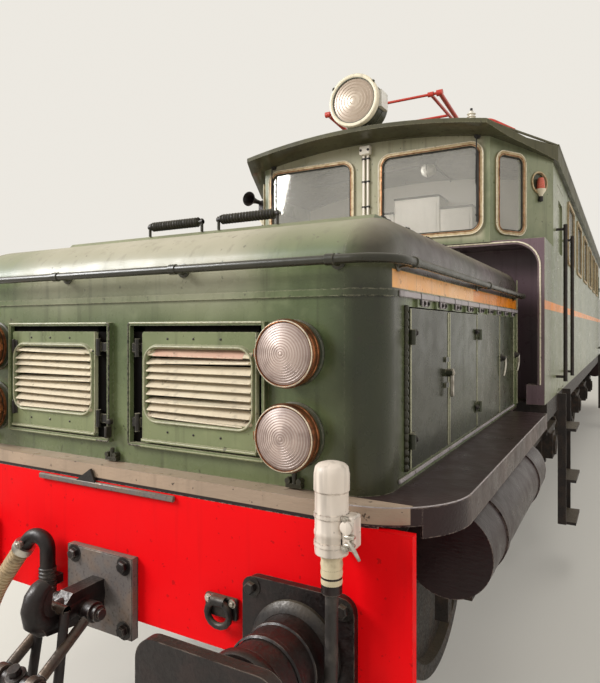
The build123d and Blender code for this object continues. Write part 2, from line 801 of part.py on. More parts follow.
with BuildPart() as draw_gear:
    for side in (-1, 1):
        with BuildSketch(Plane.YZ.offset(beam_x)):
            with Locations((side * buffer_y, buffer_z)):
                RectangleRounded(450, 450, 60)
        extrude(amount=32)
        buffer_seat = (beam_x, side * buffer_y, buffer_z)
        with BuildSketch(Plane(origin=buffer_seat, x_dir=(1, 0, 0), z_dir=(0, -1, 0))):
            with BuildLine():
                Polyline(
                    (20, 0),
                    (20, 165),
                    (60, 140),
                    (330, 130),
                    (330, 148),
                    (372, 148),
                    (372, 92),
                    (buffer_length - 45, 88),
                    (buffer_length - 30, 150),
                    (buffer_length - 30, 0),
                    close=True,
                )
            make_face()
        revolve(axis=Axis((beam_x, side * buffer_y, buffer_z), (1, 0, 0)))
        with BuildSketch(Plane.YZ.offset(beam_x + buffer_length - 40)):
            with Locations((side * buffer_y, buffer_z)):
                RectangleRounded(500, 460, 70)
        extrude(amount=40)
    block((beam_x, beam_x + 36), (-195, 195), (hook_z - 170, coupler_top))
    with BuildSketch(Plane.XZ.offset(-35)):
        with BuildLine():
            Polyline(
                (beam_x + 20, hook_z - 60),
                (beam_x + 190, hook_z - 75),
                (beam_x + 320, hook_z - 60),
                (beam_x + 370, hook_z + 20),
                (beam_x + 350, hook_z + 110),
                (beam_x + 290, hook_z + 120),
                (beam_x + 300, hook_z + 40),
                (beam_x + 260, hook_z + 5),
                (beam_x + 200, hook_z + 60),
                (beam_x + 20, hook_z + 60),
                close=True,
            )
        make_face()
    extrude(amount=70)
    link_pin = (beam_x + 150, hook_z - 20)
    nut = (beam_x + 420, hook_z - 190)
    lower_nut = (beam_x + 335, hook_z - 455)
    bow = (beam_x + 263, hook_z + 24)
    rod((link_pin[0], -125, link_pin[1]), (link_pin[0], 125, link_pin[1]), 62)
    rod((nut[0], -120, nut[1]), (nut[0], 120, nut[1]), 58)
    rod((lower_nut[0], -110, lower_nut[1]), (lower_nut[0], 110, lower_nut[1]), 58)
    rod((bow[0], -78, bow[1]), (bow[0], 78, bow[1]), 38)
    screw = Vector(nut[0] - lower_nut[0], 0, nut[1] - lower_nut[1]).normalized() * 60
    rod((nut[0] + screw.X, 0, nut[1] + screw.Z), (lower_nut[0] - screw.X, 0, lower_nut[1] - screw.Z), 46)
    middle = ((nut[0] + lower_nut[0]) / 2, (nut[1] + lower_nut[1]) / 2)
    rod((middle[0] + 10, -40, middle[1] - 10), (middle[0] + 10, 190, middle[1] - 40), 22)
    rod((middle[0] + 10, 165, middle[1] - 37), (middle[0] + 10, 225, middle[1] - 45), 60)
    for side in (-1, 1):
        rod((link_pin[0], side * 88, link_pin[1]), (nut[0], side * 92, nut[1]), 40)
        rod((lower_nut[0], side * 84, lower_nut[1]), (bow[0], side * 66, bow[1]), 38)
    with BuildLine() as neck_path:
        FilletPolyline(*neck_points, radius=bend_radii(neck_points))
    with BuildSketch(Plane(origin=neck_path.line @ 0, z_dir=neck_path.line % 0)):
        Circle(neck_dia / 2)
    sweep(path=neck_path.wires()[0])
    block(
        (beam_x, neck_points[0][0]),
        (neck_points[0][1] - 20, neck_points[0][1] + 20),
        (rail + 1020, rail + 1060),
    )
    rod(hose_points[0], tuple(Vector(*hose_points[0]) - hose_way * clamp_long), neck_dia + 22)
    rod((jumper_x, jumper_y, jumper_low), (jumper_x, jumper_y, jumper_high), jumper_dia)
    rod((jumper_x, jumper_y, sleeve_low), (jumper_x, jumper_y, jumper_low), sleeve_dia)
    block((beam_x, jumper_x), (jumper_y - 40, jumper_y + 40), (jumper_low + 10, jumper_low + 50))
    block(
        (jumper_x - 30, jumper_x + 30),
        (jumper_y, jumper_y + jumper_dia / 2 + 34),
        (jumper_low + 30, jumper_low + 130),
    )
    gland = lead_points[-1]
    block((gland[0] - 40, gland[0] + 40), (frame_out + seat_gap, gland[1] + 40), (gland[2], gland[2] + 80))
write_ends(draw_gear.part, "draw_gear")

# Free hose of the brake and free lead of the jumper
with BuildPart() as hoses:
    for points, diameter in ((hose_points, hose_dia), (lead_points, lead_dia)):
        radii = bend_radii(points)
        print("bend radii", [round(radius) for radius in radii], "for a diameter of", diameter)
        with BuildLine() as hose_path:
            FilletPolyline(*points, radius=radii)
        with BuildSketch(Plane(origin=hose_path.line @ 0, z_dir=hose_path.line % 0)):
            Circle(diameter / 2)
        sweep(path=hose_path.wires()[0])
    hose_end = Vector(*hose_points[-1])
    rod(tuple(hose_end), (hose_end.X, hose_end.Y, hose_end.Z - 60), hose_dia + 14)
    rod((hose_end.X, hose_end.Y, hose_end.Z - 60), (hose_end.X, hose_end.Y, hose_end.Z - 100), hose_dia + 34)
write_ends(hoses.part, "hoses")

# Underframe of the body: floor plate, sills, spines, cross members, bolsters and pivots
pivot_dia = 500.0
floor_plate = 30.0
sill_in = body_half - 120
spine_in = 300.0
spine_out = 380.0
under_low = floor_top - sill_depth
member_top = floor_top - floor_plate - seat_gap
cross_half = 60.0
bolster_half = 300.0
cross_places = [-under_front + cross_half, -3000, -1000, 1000, 3000, under_front - cross_half]
with BuildPart() as underframe:
    block((-under_front, under_front), (-body_half, body_half), (floor_top - floor_plate, floor_top))
    for side in (-1, 1):
        block((-under_front, under_front), (side * sill_in, side * body_half), (under_low, member_top))
        block((-under_front, under_front), (side * spine_in, side * spine_out), (under_low + 20, member_top))
        wing = (side * (spine_out + seat_gap), side * (sill_in - seat_gap))
        for cross_x in cross_places:
            block((cross_x - cross_half, cross_x + cross_half), wing, (under_low, member_top))
        for end in (-1, 1):
            block((end * pivot_x - 180, end * pivot_x + 180), (side * 900, wing[1]), (under_low, member_top))
    core = (-spine_in + seat_gap, spine_in - seat_gap)
    for cross_x in cross_places:
        block((cross_x - cross_half, cross_x + cross_half), core, (under_low, member_top))
    for end in (-1, 1):
        block((end * pivot_x - bolster_half, end * pivot_x + bolster_half), core, (under_low, member_top))
        rod((end * pivot_x, 0, pivot_plate_z + seat_gap), (end * pivot_x, 0, under_low - seat_gap), pivot_dia)
write(underframe.part, "underframe")

# Windows of a cab: centre, way the wall looks, width, height and corner radius
taper = Vector(taper_rear - cab_front, body_half - cab_front_half, 0)
taper_way = taper.normalized()
glass_low = rail + 2955
glass_high = rail + 3665
side_glass_high = rail + 3590
front_window_y = (134 + 984) / 2
front_window_wide = 850.0
taper_window_wide = 300.0
taper_window_at = 225.0
lamp_niche_at = 560.0
lamp_niche_z = rail + 3400
lamp_niche_dia = 170.0


def taper_place(along, height, side):
    """A plane on the tapered cab wall, so far along from its front corner."""
    x = cab_front + taper_way.X * along
    y = cab_front_half + taper_way.Y * along
    return wall_plane(x, side * y, height, taper_way.Y, side * -taper_way.X)


cab_windows = []
for side in (-1, 1):
    middle = (glass_low + glass_high) / 2
    front = wall_plane(cab_front, side * front_window_y, middle, 1, 0)
    cab_windows.append((front, front_window_wide, glass_high - glass_low, 90.0))
    middle = (glass_low + side_glass_high) / 2
    cab_windows.append(
        (taper_place(taper_window_at, middle, side), taper_window_wide, side_glass_high - glass_low, 70.0)
    )


def below_roof(crown):
    """Cut away what is above the roof's lower surface."""
    with BuildSketch(Plane.YZ.offset(-9000)) as above:
        with Locations((0, crown + 2000)):
            Rectangle(2 * body_half + 200, 5000)
        with Locations((0, crown - roof_radius)):
            Circle(roof_radius, mode=Mode.SUBTRACT)
    extrude(above.sketch, amount=18000, mode=Mode.SUBTRACT)


def cab_plan(inset):
    """The outline of the upper cab, drawn in the sketch in hand."""
    taper = math.atan2(body_half - cab_front_half, cab_front - taper_rear)
    slope = inset * math.tan(taper / 2)
    half = inset * math.tan(math.radians(45) - taper / 2)
    with BuildLine() as outline:
        Polyline(
            (cab_rear, -body_half + inset),
            (taper_rear - slope, -body_half + inset),
            (cab_front - inset, -cab_front_half + half),
            (cab_front - inset, cab_front_half - half),
            (taper_rear - slope, body_half - inset),
            (cab_rear, body_half - inset),
            close=True,
        )
    make_face(outline.edges())


with BuildPart() as cab:
    with BuildSketch(Plane.XY.offset(floor_top)):
        with Locations(((cab_rear + arch_front) / 2, 0)):
            Rectangle(arch_front - cab_rear, 2 * body_half)
    extrude(amount=shelf_top - floor_top)
    with BuildSketch(Plane.XY.offset(shelf_top - 10)):
        cab_plan(0)
    extrude(amount=ceiling_crown - shelf_top + 10)
    with BuildSketch(Plane.XY.offset(floor_top - 1)):
        with Locations(((cab_rear + arch_wall_x - wall) / 2, 0)):
            Rectangle(arch_wall_x - wall - cab_rear, 2 * (body_half - wall))
    extrude(amount=shelf_top - floor_top + 1, mode=Mode.SUBTRACT)
    with BuildSketch(Plane.XY.offset(shelf_top)):
        cab_plan(wall)
    extrude(amount=ceiling_crown - shelf_top, mode=Mode.SUBTRACT)
    with BuildSketch(Plane.YZ.offset(arch_wall_x)) as arch:
        with Locations((0, (floor_top - 200 + arch_top) / 2)):
            Rectangle(2 * (body_half - wall), arch_top - floor_top + 200)
        fillet(arch.vertices().group_by(Axis.Y)[-1], arch_corner)
    extrude(amount=arch_front - arch_wall_x + 50, mode=Mode.SUBTRACT)
    for plane, width, height, radius in cab_windows:
        with BuildSketch(plane.offset(10)):
            RectangleRounded(width, height, radius)
        extrude(amount=-wall - 30, mode=Mode.SUBTRACT)
    for side in (-1, 1):
        with BuildSketch(taper_place(lamp_niche_at, lamp_niche_z, side).offset(10)):
            Circle(lamp_niche_dia / 2)
        extrude(amount=-wall - 30, mode=Mode.SUBTRACT)
        block(
            (cab_door_rear, cab_door_front),
            (side * (body_half - 2 * wall), side * (body_half + wall)),
            (floor_top + 20, cab_door_high),
            mode=Mode.SUBTRACT,
        )
        block(
            (arch_front - arch_foot, arch_front),
            (side * arch_foot_in, side * (body_half - wall)),
            (floor_top, floor_top + arch_foot),
        )
    below_roof(ceiling_crown - seat_gap)
miter_x = taper_rear - wall
front_half = cab_front_half - wall / 2 - 3
inside = body_half - wall
lower = (floor_top - 1, shelf_top - seat_gap)
upper = (shelf_top, ceiling_crown + 10)
over_arch = (arch_top - arch_corner, lower[1])
arch_foot_z = (lower[0], floor_top + arch_foot)
cab_zones = [
    ((arch_wall_x - wall, arch_wall_x), (-inside + seat_gap, inside - seat_gap), lower),
    ((arch_wall_x + seat_gap, cab_front + 10), (-inside + seat_gap, inside - seat_gap), over_arch),
    ((miter_x, cab_front + 10), (-front_half + seat_gap, front_half - seat_gap), upper),
]
for side in (-1, 1):
    side_sheet = (side * inside, side * (body_half + 1))
    foot_y = (side * arch_foot_in, side * (inside - seat_gap))
    cab_zones.append(((cab_rear - 1, miter_x - seat_gap), side_sheet, (lower[0], upper[1])))
    cab_zones.append(((miter_x, cab_front + 10), side_sheet, lower))
    cab_zones.append(((arch_front - arch_foot, arch_front), foot_y, arch_foot_z))
    cab_zones.append(((miter_x, cab_front + 10), (side * front_half, side * (body_half + 1)), upper))
write_ends(Compound(panels(cab.part, cab_zones)), "cab")

# Side walls of the machine room
side_window_x = [-3250.0, -1950.0, -650.0, 650.0, 1950.0, 3250.0]
side_window_wide = 800.0
side_window_low = rail + 2880
side_window_high = rail + 3520
side_windows = []
for side in (-1, 1):
    for x in side_window_x:
        middle = (side_window_low + side_window_high) / 2
        place = wall_plane(x, side * body_half, middle, 0, side)
        side_windows.append((place, side_window_wide, side_window_high - side_window_low, 60.0))
with BuildPart() as side_walls:
    for side in (-1, 1):
        block(
            (-cab_rear, cab_rear),
            (side * (body_half - wall), side * body_half),
            (floor_top, ceiling_crown),
        )
    for plane, width, height, radius in side_windows:
        with BuildSketch(plane.offset(10)):
            RectangleRounded(width, height, radius)
        extrude(amount=-wall - 30, mode=Mode.SUBTRACT)
    below_roof(ceiling_crown - seat_gap)
write(side_walls.part, "side_walls")

# Glass and frames of the fixed windows
glass_thick = 8.0
frame_wide = 32.0
frame_lap = 16.0
frame_proud = 16.0


def turned(plane):
    """The same place at the other end of the locomotive."""
    return Plane(
        origin=(-plane.origin.X, -plane.origin.Y, plane.origin.Z),
        x_dir=-plane.x_dir,
        z_dir=-plane.z_dir,
    )


all_windows = cab_windows + [(turned(place), w, h, r) for place, w, h, r in cab_windows] + side_windows
with BuildPart() as window_glass:
    for plane, width, height, radius in all_windows:
        with BuildSketch(plane.offset(-seat_gap)):
            RectangleRounded(width - 2 * seat_gap, height - 2 * seat_gap, radius)
        extrude(amount=-glass_thick)
write(window_glass.part, "window_glass")
with BuildPart() as window_frames:
    for plane, width, height, radius in all_windows:
        with BuildSketch(plane):
            RectangleRounded(
                width + 2 * (frame_wide - frame_lap), height + 2 * (frame_wide - frame_lap), radius + 10
            )
            RectangleRounded(width - 2 * frame_lap, height - 2 * frame_lap, radius - 12, mode=Mode.SUBTRACT)
        extrude(amount=frame_proud)
write(window_frames.part, "window_frames")

# Cab doors, with their pane
door_hinge_dia = 24.0
for side_name, side in (("left", 1), ("right", -1)):
    with BuildPart() as cab_door:
        block(
            (cab_door_rear + door_gap, cab_door_front - door_gap),
            (side * (body_half - wall), side * body_half),
            (floor_top + 20 + door_gap, cab_door_high - door_gap),
        )
        pane_z = (side_window_low + cab_door_high - 120) / 2
        pane_high = cab_door_high - 120 - side_window_low
        pane = wall_plane((cab_door_rear + cab_door_front) / 2, side * body_half, pane_z, 0, side)
        with BuildSketch(pane.offset(5)):
            RectangleRounded(400, pane_high, 50)
        extrude(amount=-wall - 10, mode=Mode.SUBTRACT)
        with BuildSketch(pane.offset(-20)):
            RectangleRounded(400, pane_high, 50)
        extrude(amount=-glass_thick)
        for hinge_z in (floor_top + 300, floor_top + 1000, cab_door_high - 300):
            hinge = (cab_door_rear + 2, side * (body_half - wall - door_hinge_dia / 2 - seat_gap))
            rod((hinge[0], hinge[1], hinge_z), (hinge[0], hinge[1], hinge_z + 90), door_hinge_dia)
            block(
                (hinge[0], hinge[0] + 60),
                (side * (body_half - wall - 8), side * (body_half - wall)),
                (hinge_z, hinge_z + 90),
            )
    write_ends(cab_door.part, f"cab_door_{side_name}")

# Cab interior: bulkheads and desks
doorway_half = 350.0
doorway_high = 1900.0
with BuildPart() as cab_interior:
    for end in (-1, 1):
        bulkhead_x = (end * (cab_rear - 45), end * (cab_rear - 5))
        block(bulkhead_x, (-body_half + wall + 1, body_half - wall - 1), (floor_top, ceiling_crown))
        block(
            (end * (cab_rear - 100), end * cab_rear),
            (-doorway_half, doorway_half),
            (floor_top + 20, floor_top + doorway_high),
            mode=Mode.SUBTRACT,
        )
        for side in (-1, 1):
            with BuildSketch(Plane.XZ.offset(-side * 750 - 400)):
                with BuildLine():
                    Polyline(
                        (end * (arch_wall_x - wall - 1), floor_top),
                        (end * (arch_wall_x - wall - 1), floor_top + 1150),
                        (end * (arch_wall_x - wall - 220), floor_top + 1120),
                        (end * (arch_wall_x - wall - 420), floor_top + 960),
                        (end * (arch_wall_x - wall - 420), floor_top),
                        close=True,
                    )
                make_face()
            extrude(amount=800)
    below_roof(ceiling_crown - seat_gap)
write(cab_interior.part, "cab_interior")


def roof_band(x, crown):
    """The roof's section: an arc over the body, its straight eaves and the ceiling arc."""
    with BuildSketch(Plane.YZ.offset(x)) as section:
        with BuildLine():
            drop = roof_radius - math.sqrt(roof_radius**2 - roof_half**2)
            under = ceiling_crown - drop
            eave = crown - drop
            top_arc = ThreePointArc((-roof_half, eave), (0, crown), (roof_half, eave))
            Line(top_arc @ 1, (roof_half, under))
            low_arc = ThreePointArc((roof_half, under), (0, ceiling_crown), (-roof_half, under))
            Line(low_arc @ 1, top_arc @ 0)
        make_face()
    return section.sketch


# Roof, its visors thinned towards their front edges
lip_thin = 26.0
lip_deep = 230.0
with BuildPart() as roof:
    extrude(roof_band(-slope_rear, roof_crown), amount=2 * slope_rear)
    for end in (-1, 1):
        main_section = roof_band(end * slope_rear, roof_crown)
        visor_section = roof_band(end * visor_rear, visor_crown)
        loft([main_section.face(), visor_section.face()])
        extrude(visor_section, amount=end * (roof_front - visor_rear))
    with BuildSketch(Plane.XY.offset(ceiling_crown - 400)):
        with BuildLine():
            Polyline(
                (roof_front, -roof_front_half),
                (roof_front, roof_front_half),
                (taper_rear, roof_half),
                (-taper_rear, roof_half),
                (-roof_front, roof_front_half),
                (-roof_front, -roof_front_half),
                (-taper_rear, -roof_half),
                (taper_rear, -roof_half),
                close=True,
            )
        make_face()
    extrude(amount=1000, mode=Mode.INTERSECT)
    for end in (-1, 1):
        lip = roof.faces().sort_by(Axis.X)[0 if end < 0 else -1]
        under_edge = lip.edges().filter_by(GeomType.CIRCLE).sort_by(Axis.Z)[0]
        chamfer(under_edge, length=lip_thin, length2=lip_deep, reference=lip)
write(roof.part, "roof")

# Lamps of the body: roof headlamps and marker lamps
with BuildPart() as body_lamps:
    for end in (-1, 1):
        front = end * roof_lamp_front
        with BuildSketch(Plane(origin=(front, 0, roof_lamp_z), x_dir=(-end, 0, 0), z_dir=(0, end, 0))):
            with BuildLine():
                Polyline(
                    (20, 0),
                    (20, roof_lamp_dia / 2 - 32),
                    (0, roof_lamp_dia / 2 - 32),
                    (0, roof_lamp_dia / 2),
                    (45, roof_lamp_dia / 2),
                    (45, roof_lamp_dia / 2 - 10),
                    (270, roof_lamp_dia / 2 - 10),
                    (330, roof_lamp_dia / 2 - 90),
                    (330, 0),
                    close=True,
                )
            make_face()
        revolve(axis=Axis((front, 0, roof_lamp_z), (1, 0, 0)))
        block(
            (front - end * 250, front - end * 100),
            (-90, 90),
            (visor_crown + seat_gap, visor_crown + 60),
        )
        block(
            (front - end * 200, front - end * 60),
            (end * (roof_lamp_dia / 2 - 30), end * (roof_lamp_dia / 2 + 14)),
            (roof_lamp_z - 70, roof_lamp_z + 70),
        )
        for side in (-1, 1):
            place = taper_place(lamp_niche_at, lamp_niche_z, side)
            place = place if end > 0 else turned(place)
            with BuildSketch(place.offset(-wall)):
                Circle(lamp_niche_dia / 2 - seat_gap)
            extrude(amount=wall - 10)
write(body_lamps.part, "body_lamps")

# Steps below the cab doors, and the handrails beside them
tread_levels = [rail + 1260, rail + 800, rail + 420]
step_half = 240.0
step_deep = 150.0
with BuildPart() as steps:
    for end in (-1, 1):
        for side in (-1, 1):
            x_mid = end * (cab_door_rear + cab_door_front) / 2
            plate_y = (side * (body_half + seat_gap), side * (body_half + 70))
            for side_x in (x_mid - step_half, x_mid + step_half):
                block((side_x - 10, side_x + 10), plate_y, (tread_levels[2], floor_top))
            for level in tread_levels:
                block(
                    (x_mid - step_half + 10 + seat_gap, x_mid + step_half - 10 - seat_gap),
                    (side * body_half, side * (body_half + step_deep)),
                    (level, level + 25),
                )
            for rail_x in (end * (cab_door_rear - 70), end * (cab_door_front + 70)):
                y = side * (body_half + step_deep / 2)
                rod((rail_x, y, floor_top + 120), (rail_x, y, floor_top + 1500), rail_dia)
                for z in (floor_top + 160, floor_top + 1460):
                    rod(
                        (rail_x, side * (body_half + seat_gap), z),
                        (rail_x, y - side * (rail_dia / 2 + seat_gap), z),
                        24,
                    )
write(steps.part, "steps_and_rails")

# Pantograph bases on insulators
cos_arm = math.cos(math.radians(arm_angle))
sin_arm = math.sin(math.radians(arm_angle))
base_top = panto_z - 32
base_low = panto_z - 72
base_half = 640.0
base_rail = 50.0
shaft_dia = 46.0
lug_y = lower_arm_y - 55
with BuildPart() as panto_bases:
    for end in (-1, 1):
        x_mid = end * panto_x
        base_x = (x_mid - base_half, x_mid + base_half)
        cross_y = lug_y - base_rail / 2 - seat_gap
        for side in (-1, 1):
            for x in (base_x[0] + 40, base_x[1] - 40):
                rod((x, side * lug_y, roof_crown - 80), (x, side * lug_y, base_low - seat_gap), 90)
            block(base_x, (side * lug_y - base_rail / 2, side * lug_y + base_rail / 2), (base_low, base_top))
        for x in (base_x[0] + 40, base_x[1] - 40):
            block((x - 30, x + 30), (-cross_y, cross_y), (base_low, base_top))
        for x in (x_mid - panto_pivot, x_mid + panto_pivot):
            for side in (-1, 1):
                block((x - 35, x + 35), (side * (lug_y - 12), side * (lug_y + 12)), (base_low, panto_z + 38))
            rod((x, -lower_arm_y, panto_z), (x, lower_arm_y, panto_z), shaft_dia + 1, mode=Mode.SUBTRACT)
    with BuildSketch(Plane.YZ.offset(-9000)):
        with Locations((0, roof_crown - roof_radius)):
            Circle(roof_radius + seat_gap)
    extrude(amount=18000, mode=Mode.SUBTRACT)
write(panto_bases.part, "pantograph_bases")

# Pantograph arms and head
knuckle_rise = arm_length * sin_arm
knuckle_run = arm_length * cos_arm
head_z = panto_z + 2 * knuckle_rise
head_arm_y = upper_arm_y - 60
pin_bore = pin_dia + 2 * pin_fit
for fore in (1, -1):
    pivot = Vector(panto_x + fore * panto_pivot, 0, panto_z)
    knuckle = pivot + Vector(fore * knuckle_run, 0, knuckle_rise)
    head = Vector(panto_x + fore * panto_pivot, 0, head_z)
    arm_name = "fore" if fore > 0 else "aft"
    with BuildPart() as lower_arm:
        rod((pivot.X, -lower_arm_y, pivot.Z), (pivot.X, lower_arm_y, pivot.Z), shaft_dia)
        rod((knuckle.X, -lower_arm_y, knuckle.Z), (knuckle.X, lower_arm_y, knuckle.Z), pin_dia)
        for side in (-1, 1):
            y = side * lower_arm_y
            rod((pivot.X, y - 28, pivot.Z), (pivot.X, y + 28, pivot.Z), 66)
            rod((knuckle.X, y - 26, knuckle.Z), (knuckle.X, y + 26, knuckle.Z), 54)
            rod((pivot.X, y, pivot.Z), (knuckle.X, y, knuckle.Z), arm_tube)
    write_ends(lower_arm.part, f"panto_lower_{arm_name}")
    with BuildPart() as upper_arm:
        for side in (-1, 1):
            y = side * upper_arm_y
            rod((knuckle.X, y - 25, knuckle.Z), (knuckle.X, y + 25, knuckle.Z), 44)
            y_head = side * head_arm_y
            rod((knuckle.X - fore * 10, y, knuckle.Z), (head.X + fore * 22, y_head, head.Z), arm_tube - 10)
            rod((knuckle.X, y - 26, knuckle.Z), (knuckle.X, y + 26, knuckle.Z), pin_bore, mode=Mode.SUBTRACT)
            rod((head.X, y_head - 30, head.Z), (head.X, y_head + 30, head.Z), 44)
        mid_x = (knuckle.X + head.X) / 2
        mid_z = (knuckle.Z + head.Z) / 2
        mid_y = upper_arm_y - 30
        rod((mid_x, -mid_y, mid_z), (mid_x, mid_y, mid_z), arm_tube - 14)
        for side in (-1, 1):
            y_head = side * head_arm_y
            rod((head.X, y_head - 31, head.Z), (head.X, y_head + 31, head.Z), pin_bore, mode=Mode.SUBTRACT)
    write_ends(upper_arm.part, f"panto_upper_{arm_name}")

pan_half = 950.0
pan_z = head_z + 90
with BuildPart() as panto_head:
    for fore in (-1, 1):
        x = panto_x + fore * panto_pivot
        rod((x, -upper_arm_y + 20, head_z), (x, upper_arm_y - 20, head_z), pin_dia)
        with BuildLine(Plane.YZ.offset(x)) as horn:
            FilletPolyline(
                (-pan_half, pan_z - 160),
                (-pan_half + 250, pan_z),
                (pan_half - 250, pan_z),
                (pan_half, pan_z - 160),
                radius=200,
            )
        with BuildSketch(Plane(origin=horn.line @ 0, z_dir=horn.line % 0)):
            Circle(18)
        sweep(path=horn.wires()[0])
        for side in (-1, 1):
            y = side * (upper_arm_y - 130)
            block((x - 15, x + 15), (y - 15, y + 15), (head_z, pan_z))
    for side in (-1, 1):
        y = side * (upper_arm_y - 130)
        block((panto_x - panto_pivot, panto_x + panto_pivot), (y - 15, y + 15), (head_z + 40, head_z + 70))
write_ends(panto_head.part, "panto_head")
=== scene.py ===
"""Visual model of a hood-ended electric locomotive, built round its CAD frame.

All lengths are in metres. X runs forward to end A, Y to its left and Z up. End B is
end A turned half round, so every class that dresses an end takes it as an Enum and
gives its points as for end A.
"""

import logging
from dataclasses import dataclass
from enum import Enum
from math import asin, cos, degrees, pi, radians, sin, sqrt
from typing import Iterable, Sequence

import bpy
import bmesh
from mathutils import Matrix, Vector

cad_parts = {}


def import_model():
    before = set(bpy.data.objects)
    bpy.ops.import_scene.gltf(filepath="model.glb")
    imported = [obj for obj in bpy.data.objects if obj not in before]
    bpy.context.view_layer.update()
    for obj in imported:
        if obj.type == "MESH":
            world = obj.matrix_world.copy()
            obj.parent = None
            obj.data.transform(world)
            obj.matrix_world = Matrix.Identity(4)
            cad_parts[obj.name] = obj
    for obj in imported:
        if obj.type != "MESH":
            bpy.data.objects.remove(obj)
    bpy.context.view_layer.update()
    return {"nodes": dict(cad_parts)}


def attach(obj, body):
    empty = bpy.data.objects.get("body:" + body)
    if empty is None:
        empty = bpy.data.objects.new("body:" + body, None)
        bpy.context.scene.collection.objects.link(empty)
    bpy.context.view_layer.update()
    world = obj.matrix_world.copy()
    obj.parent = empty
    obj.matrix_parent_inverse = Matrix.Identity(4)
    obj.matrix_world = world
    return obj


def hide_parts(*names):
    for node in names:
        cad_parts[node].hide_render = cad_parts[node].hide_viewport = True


LOG = logging.getLogger("locomotive")
Point = tuple[float, float, float]
Span = tuple[float, float]
Floats = tuple[float, ...]
Socket = bpy.types.NodeSocket
Material = bpy.types.Material

AHEAD = (1, 0, 0)
ACROSS = (0, 1, 0)
UP = (0, 0, 1)
# The rail head's height: the wheel flanges reach below it, down to 0.
RAIL = 0.028
# Faces that meet at more than this many degrees keep a sharp edge between them.
SHARP = 38
DUST = "a79c86"
GRIME = "1d1813"
MIX = "ShaderNodeMix"
RANGE = "ShaderNodeMapRange"
MATH = "ShaderNodeMath"


class End(Enum):
    """The two ends of the locomotive, as the sign of X."""

    A = 1
    B = -1

    @property
    def tag(self) -> str:
        """The letter that node names end with."""
        return "a" if self is End.A else "b"


class Side(Enum):
    """The two sides of an end, as the sign of Y at end A."""

    LEFT = 1
    RIGHT = -1

    @property
    def tag(self) -> str:
        """The word that node names hold."""
        return "left" if self is Side.LEFT else "right"


def linear(code: str) -> tuple[float, float, float, float]:
    """Turn an sRGB hex colour to linear values.

    Args:
        code: six hex digits.

    Returns:
        Red, green, blue and an alpha of 1.
    """
    values = [int(code[i : i + 2], 16) / 255 for i in (0, 2, 4)]
    steps = [v / 12.92 if v <= 0.04045 else ((v + 0.055) / 1.055) ** 2.4 for v in values]
    return (steps[0], steps[1], steps[2], 1.0)


@dataclass(frozen=True)
class Zone:
    """A box of the object that is painted another colour. X and Y are taken without sign."""

    colour: str
    x: Span | None = None
    y: Span | None = None
    z: Span | None = None
    soft: float = 0.0012
    faded: str | None = None


class Nodes:
    """A node tree and the one way that nodes are added to it."""

    def __init__(self, tree: bpy.types.NodeTree) -> None:
        """Take over a tree and empty it.

        Args:
            tree: the tree.
        """
        self.tree = tree
        self.tree.nodes.clear()

    def put(self, kind: str, links: dict | None = None, out: int | str = 0, **settings: object) -> Socket:
        """Add a node with its settings and links.

        Args:
            kind: the node's type name.
            links: input name or number to a socket to link, or a value to set.
            out: which of its outputs is wanted.
            **settings: properties of the node.

        Returns:
            That output, or the first input of a node that has no output.
        """
        node = self.tree.nodes.new(kind)
        for key, value in settings.items():
            setattr(node, key, value)
        for key, value in (links or {}).items():
            if isinstance(value, Socket):
                self.tree.links.new(value, node.inputs[key])
            else:
                node.inputs[key].default_value = value
        return node.outputs[out] if len(node.outputs) else node.inputs[0]


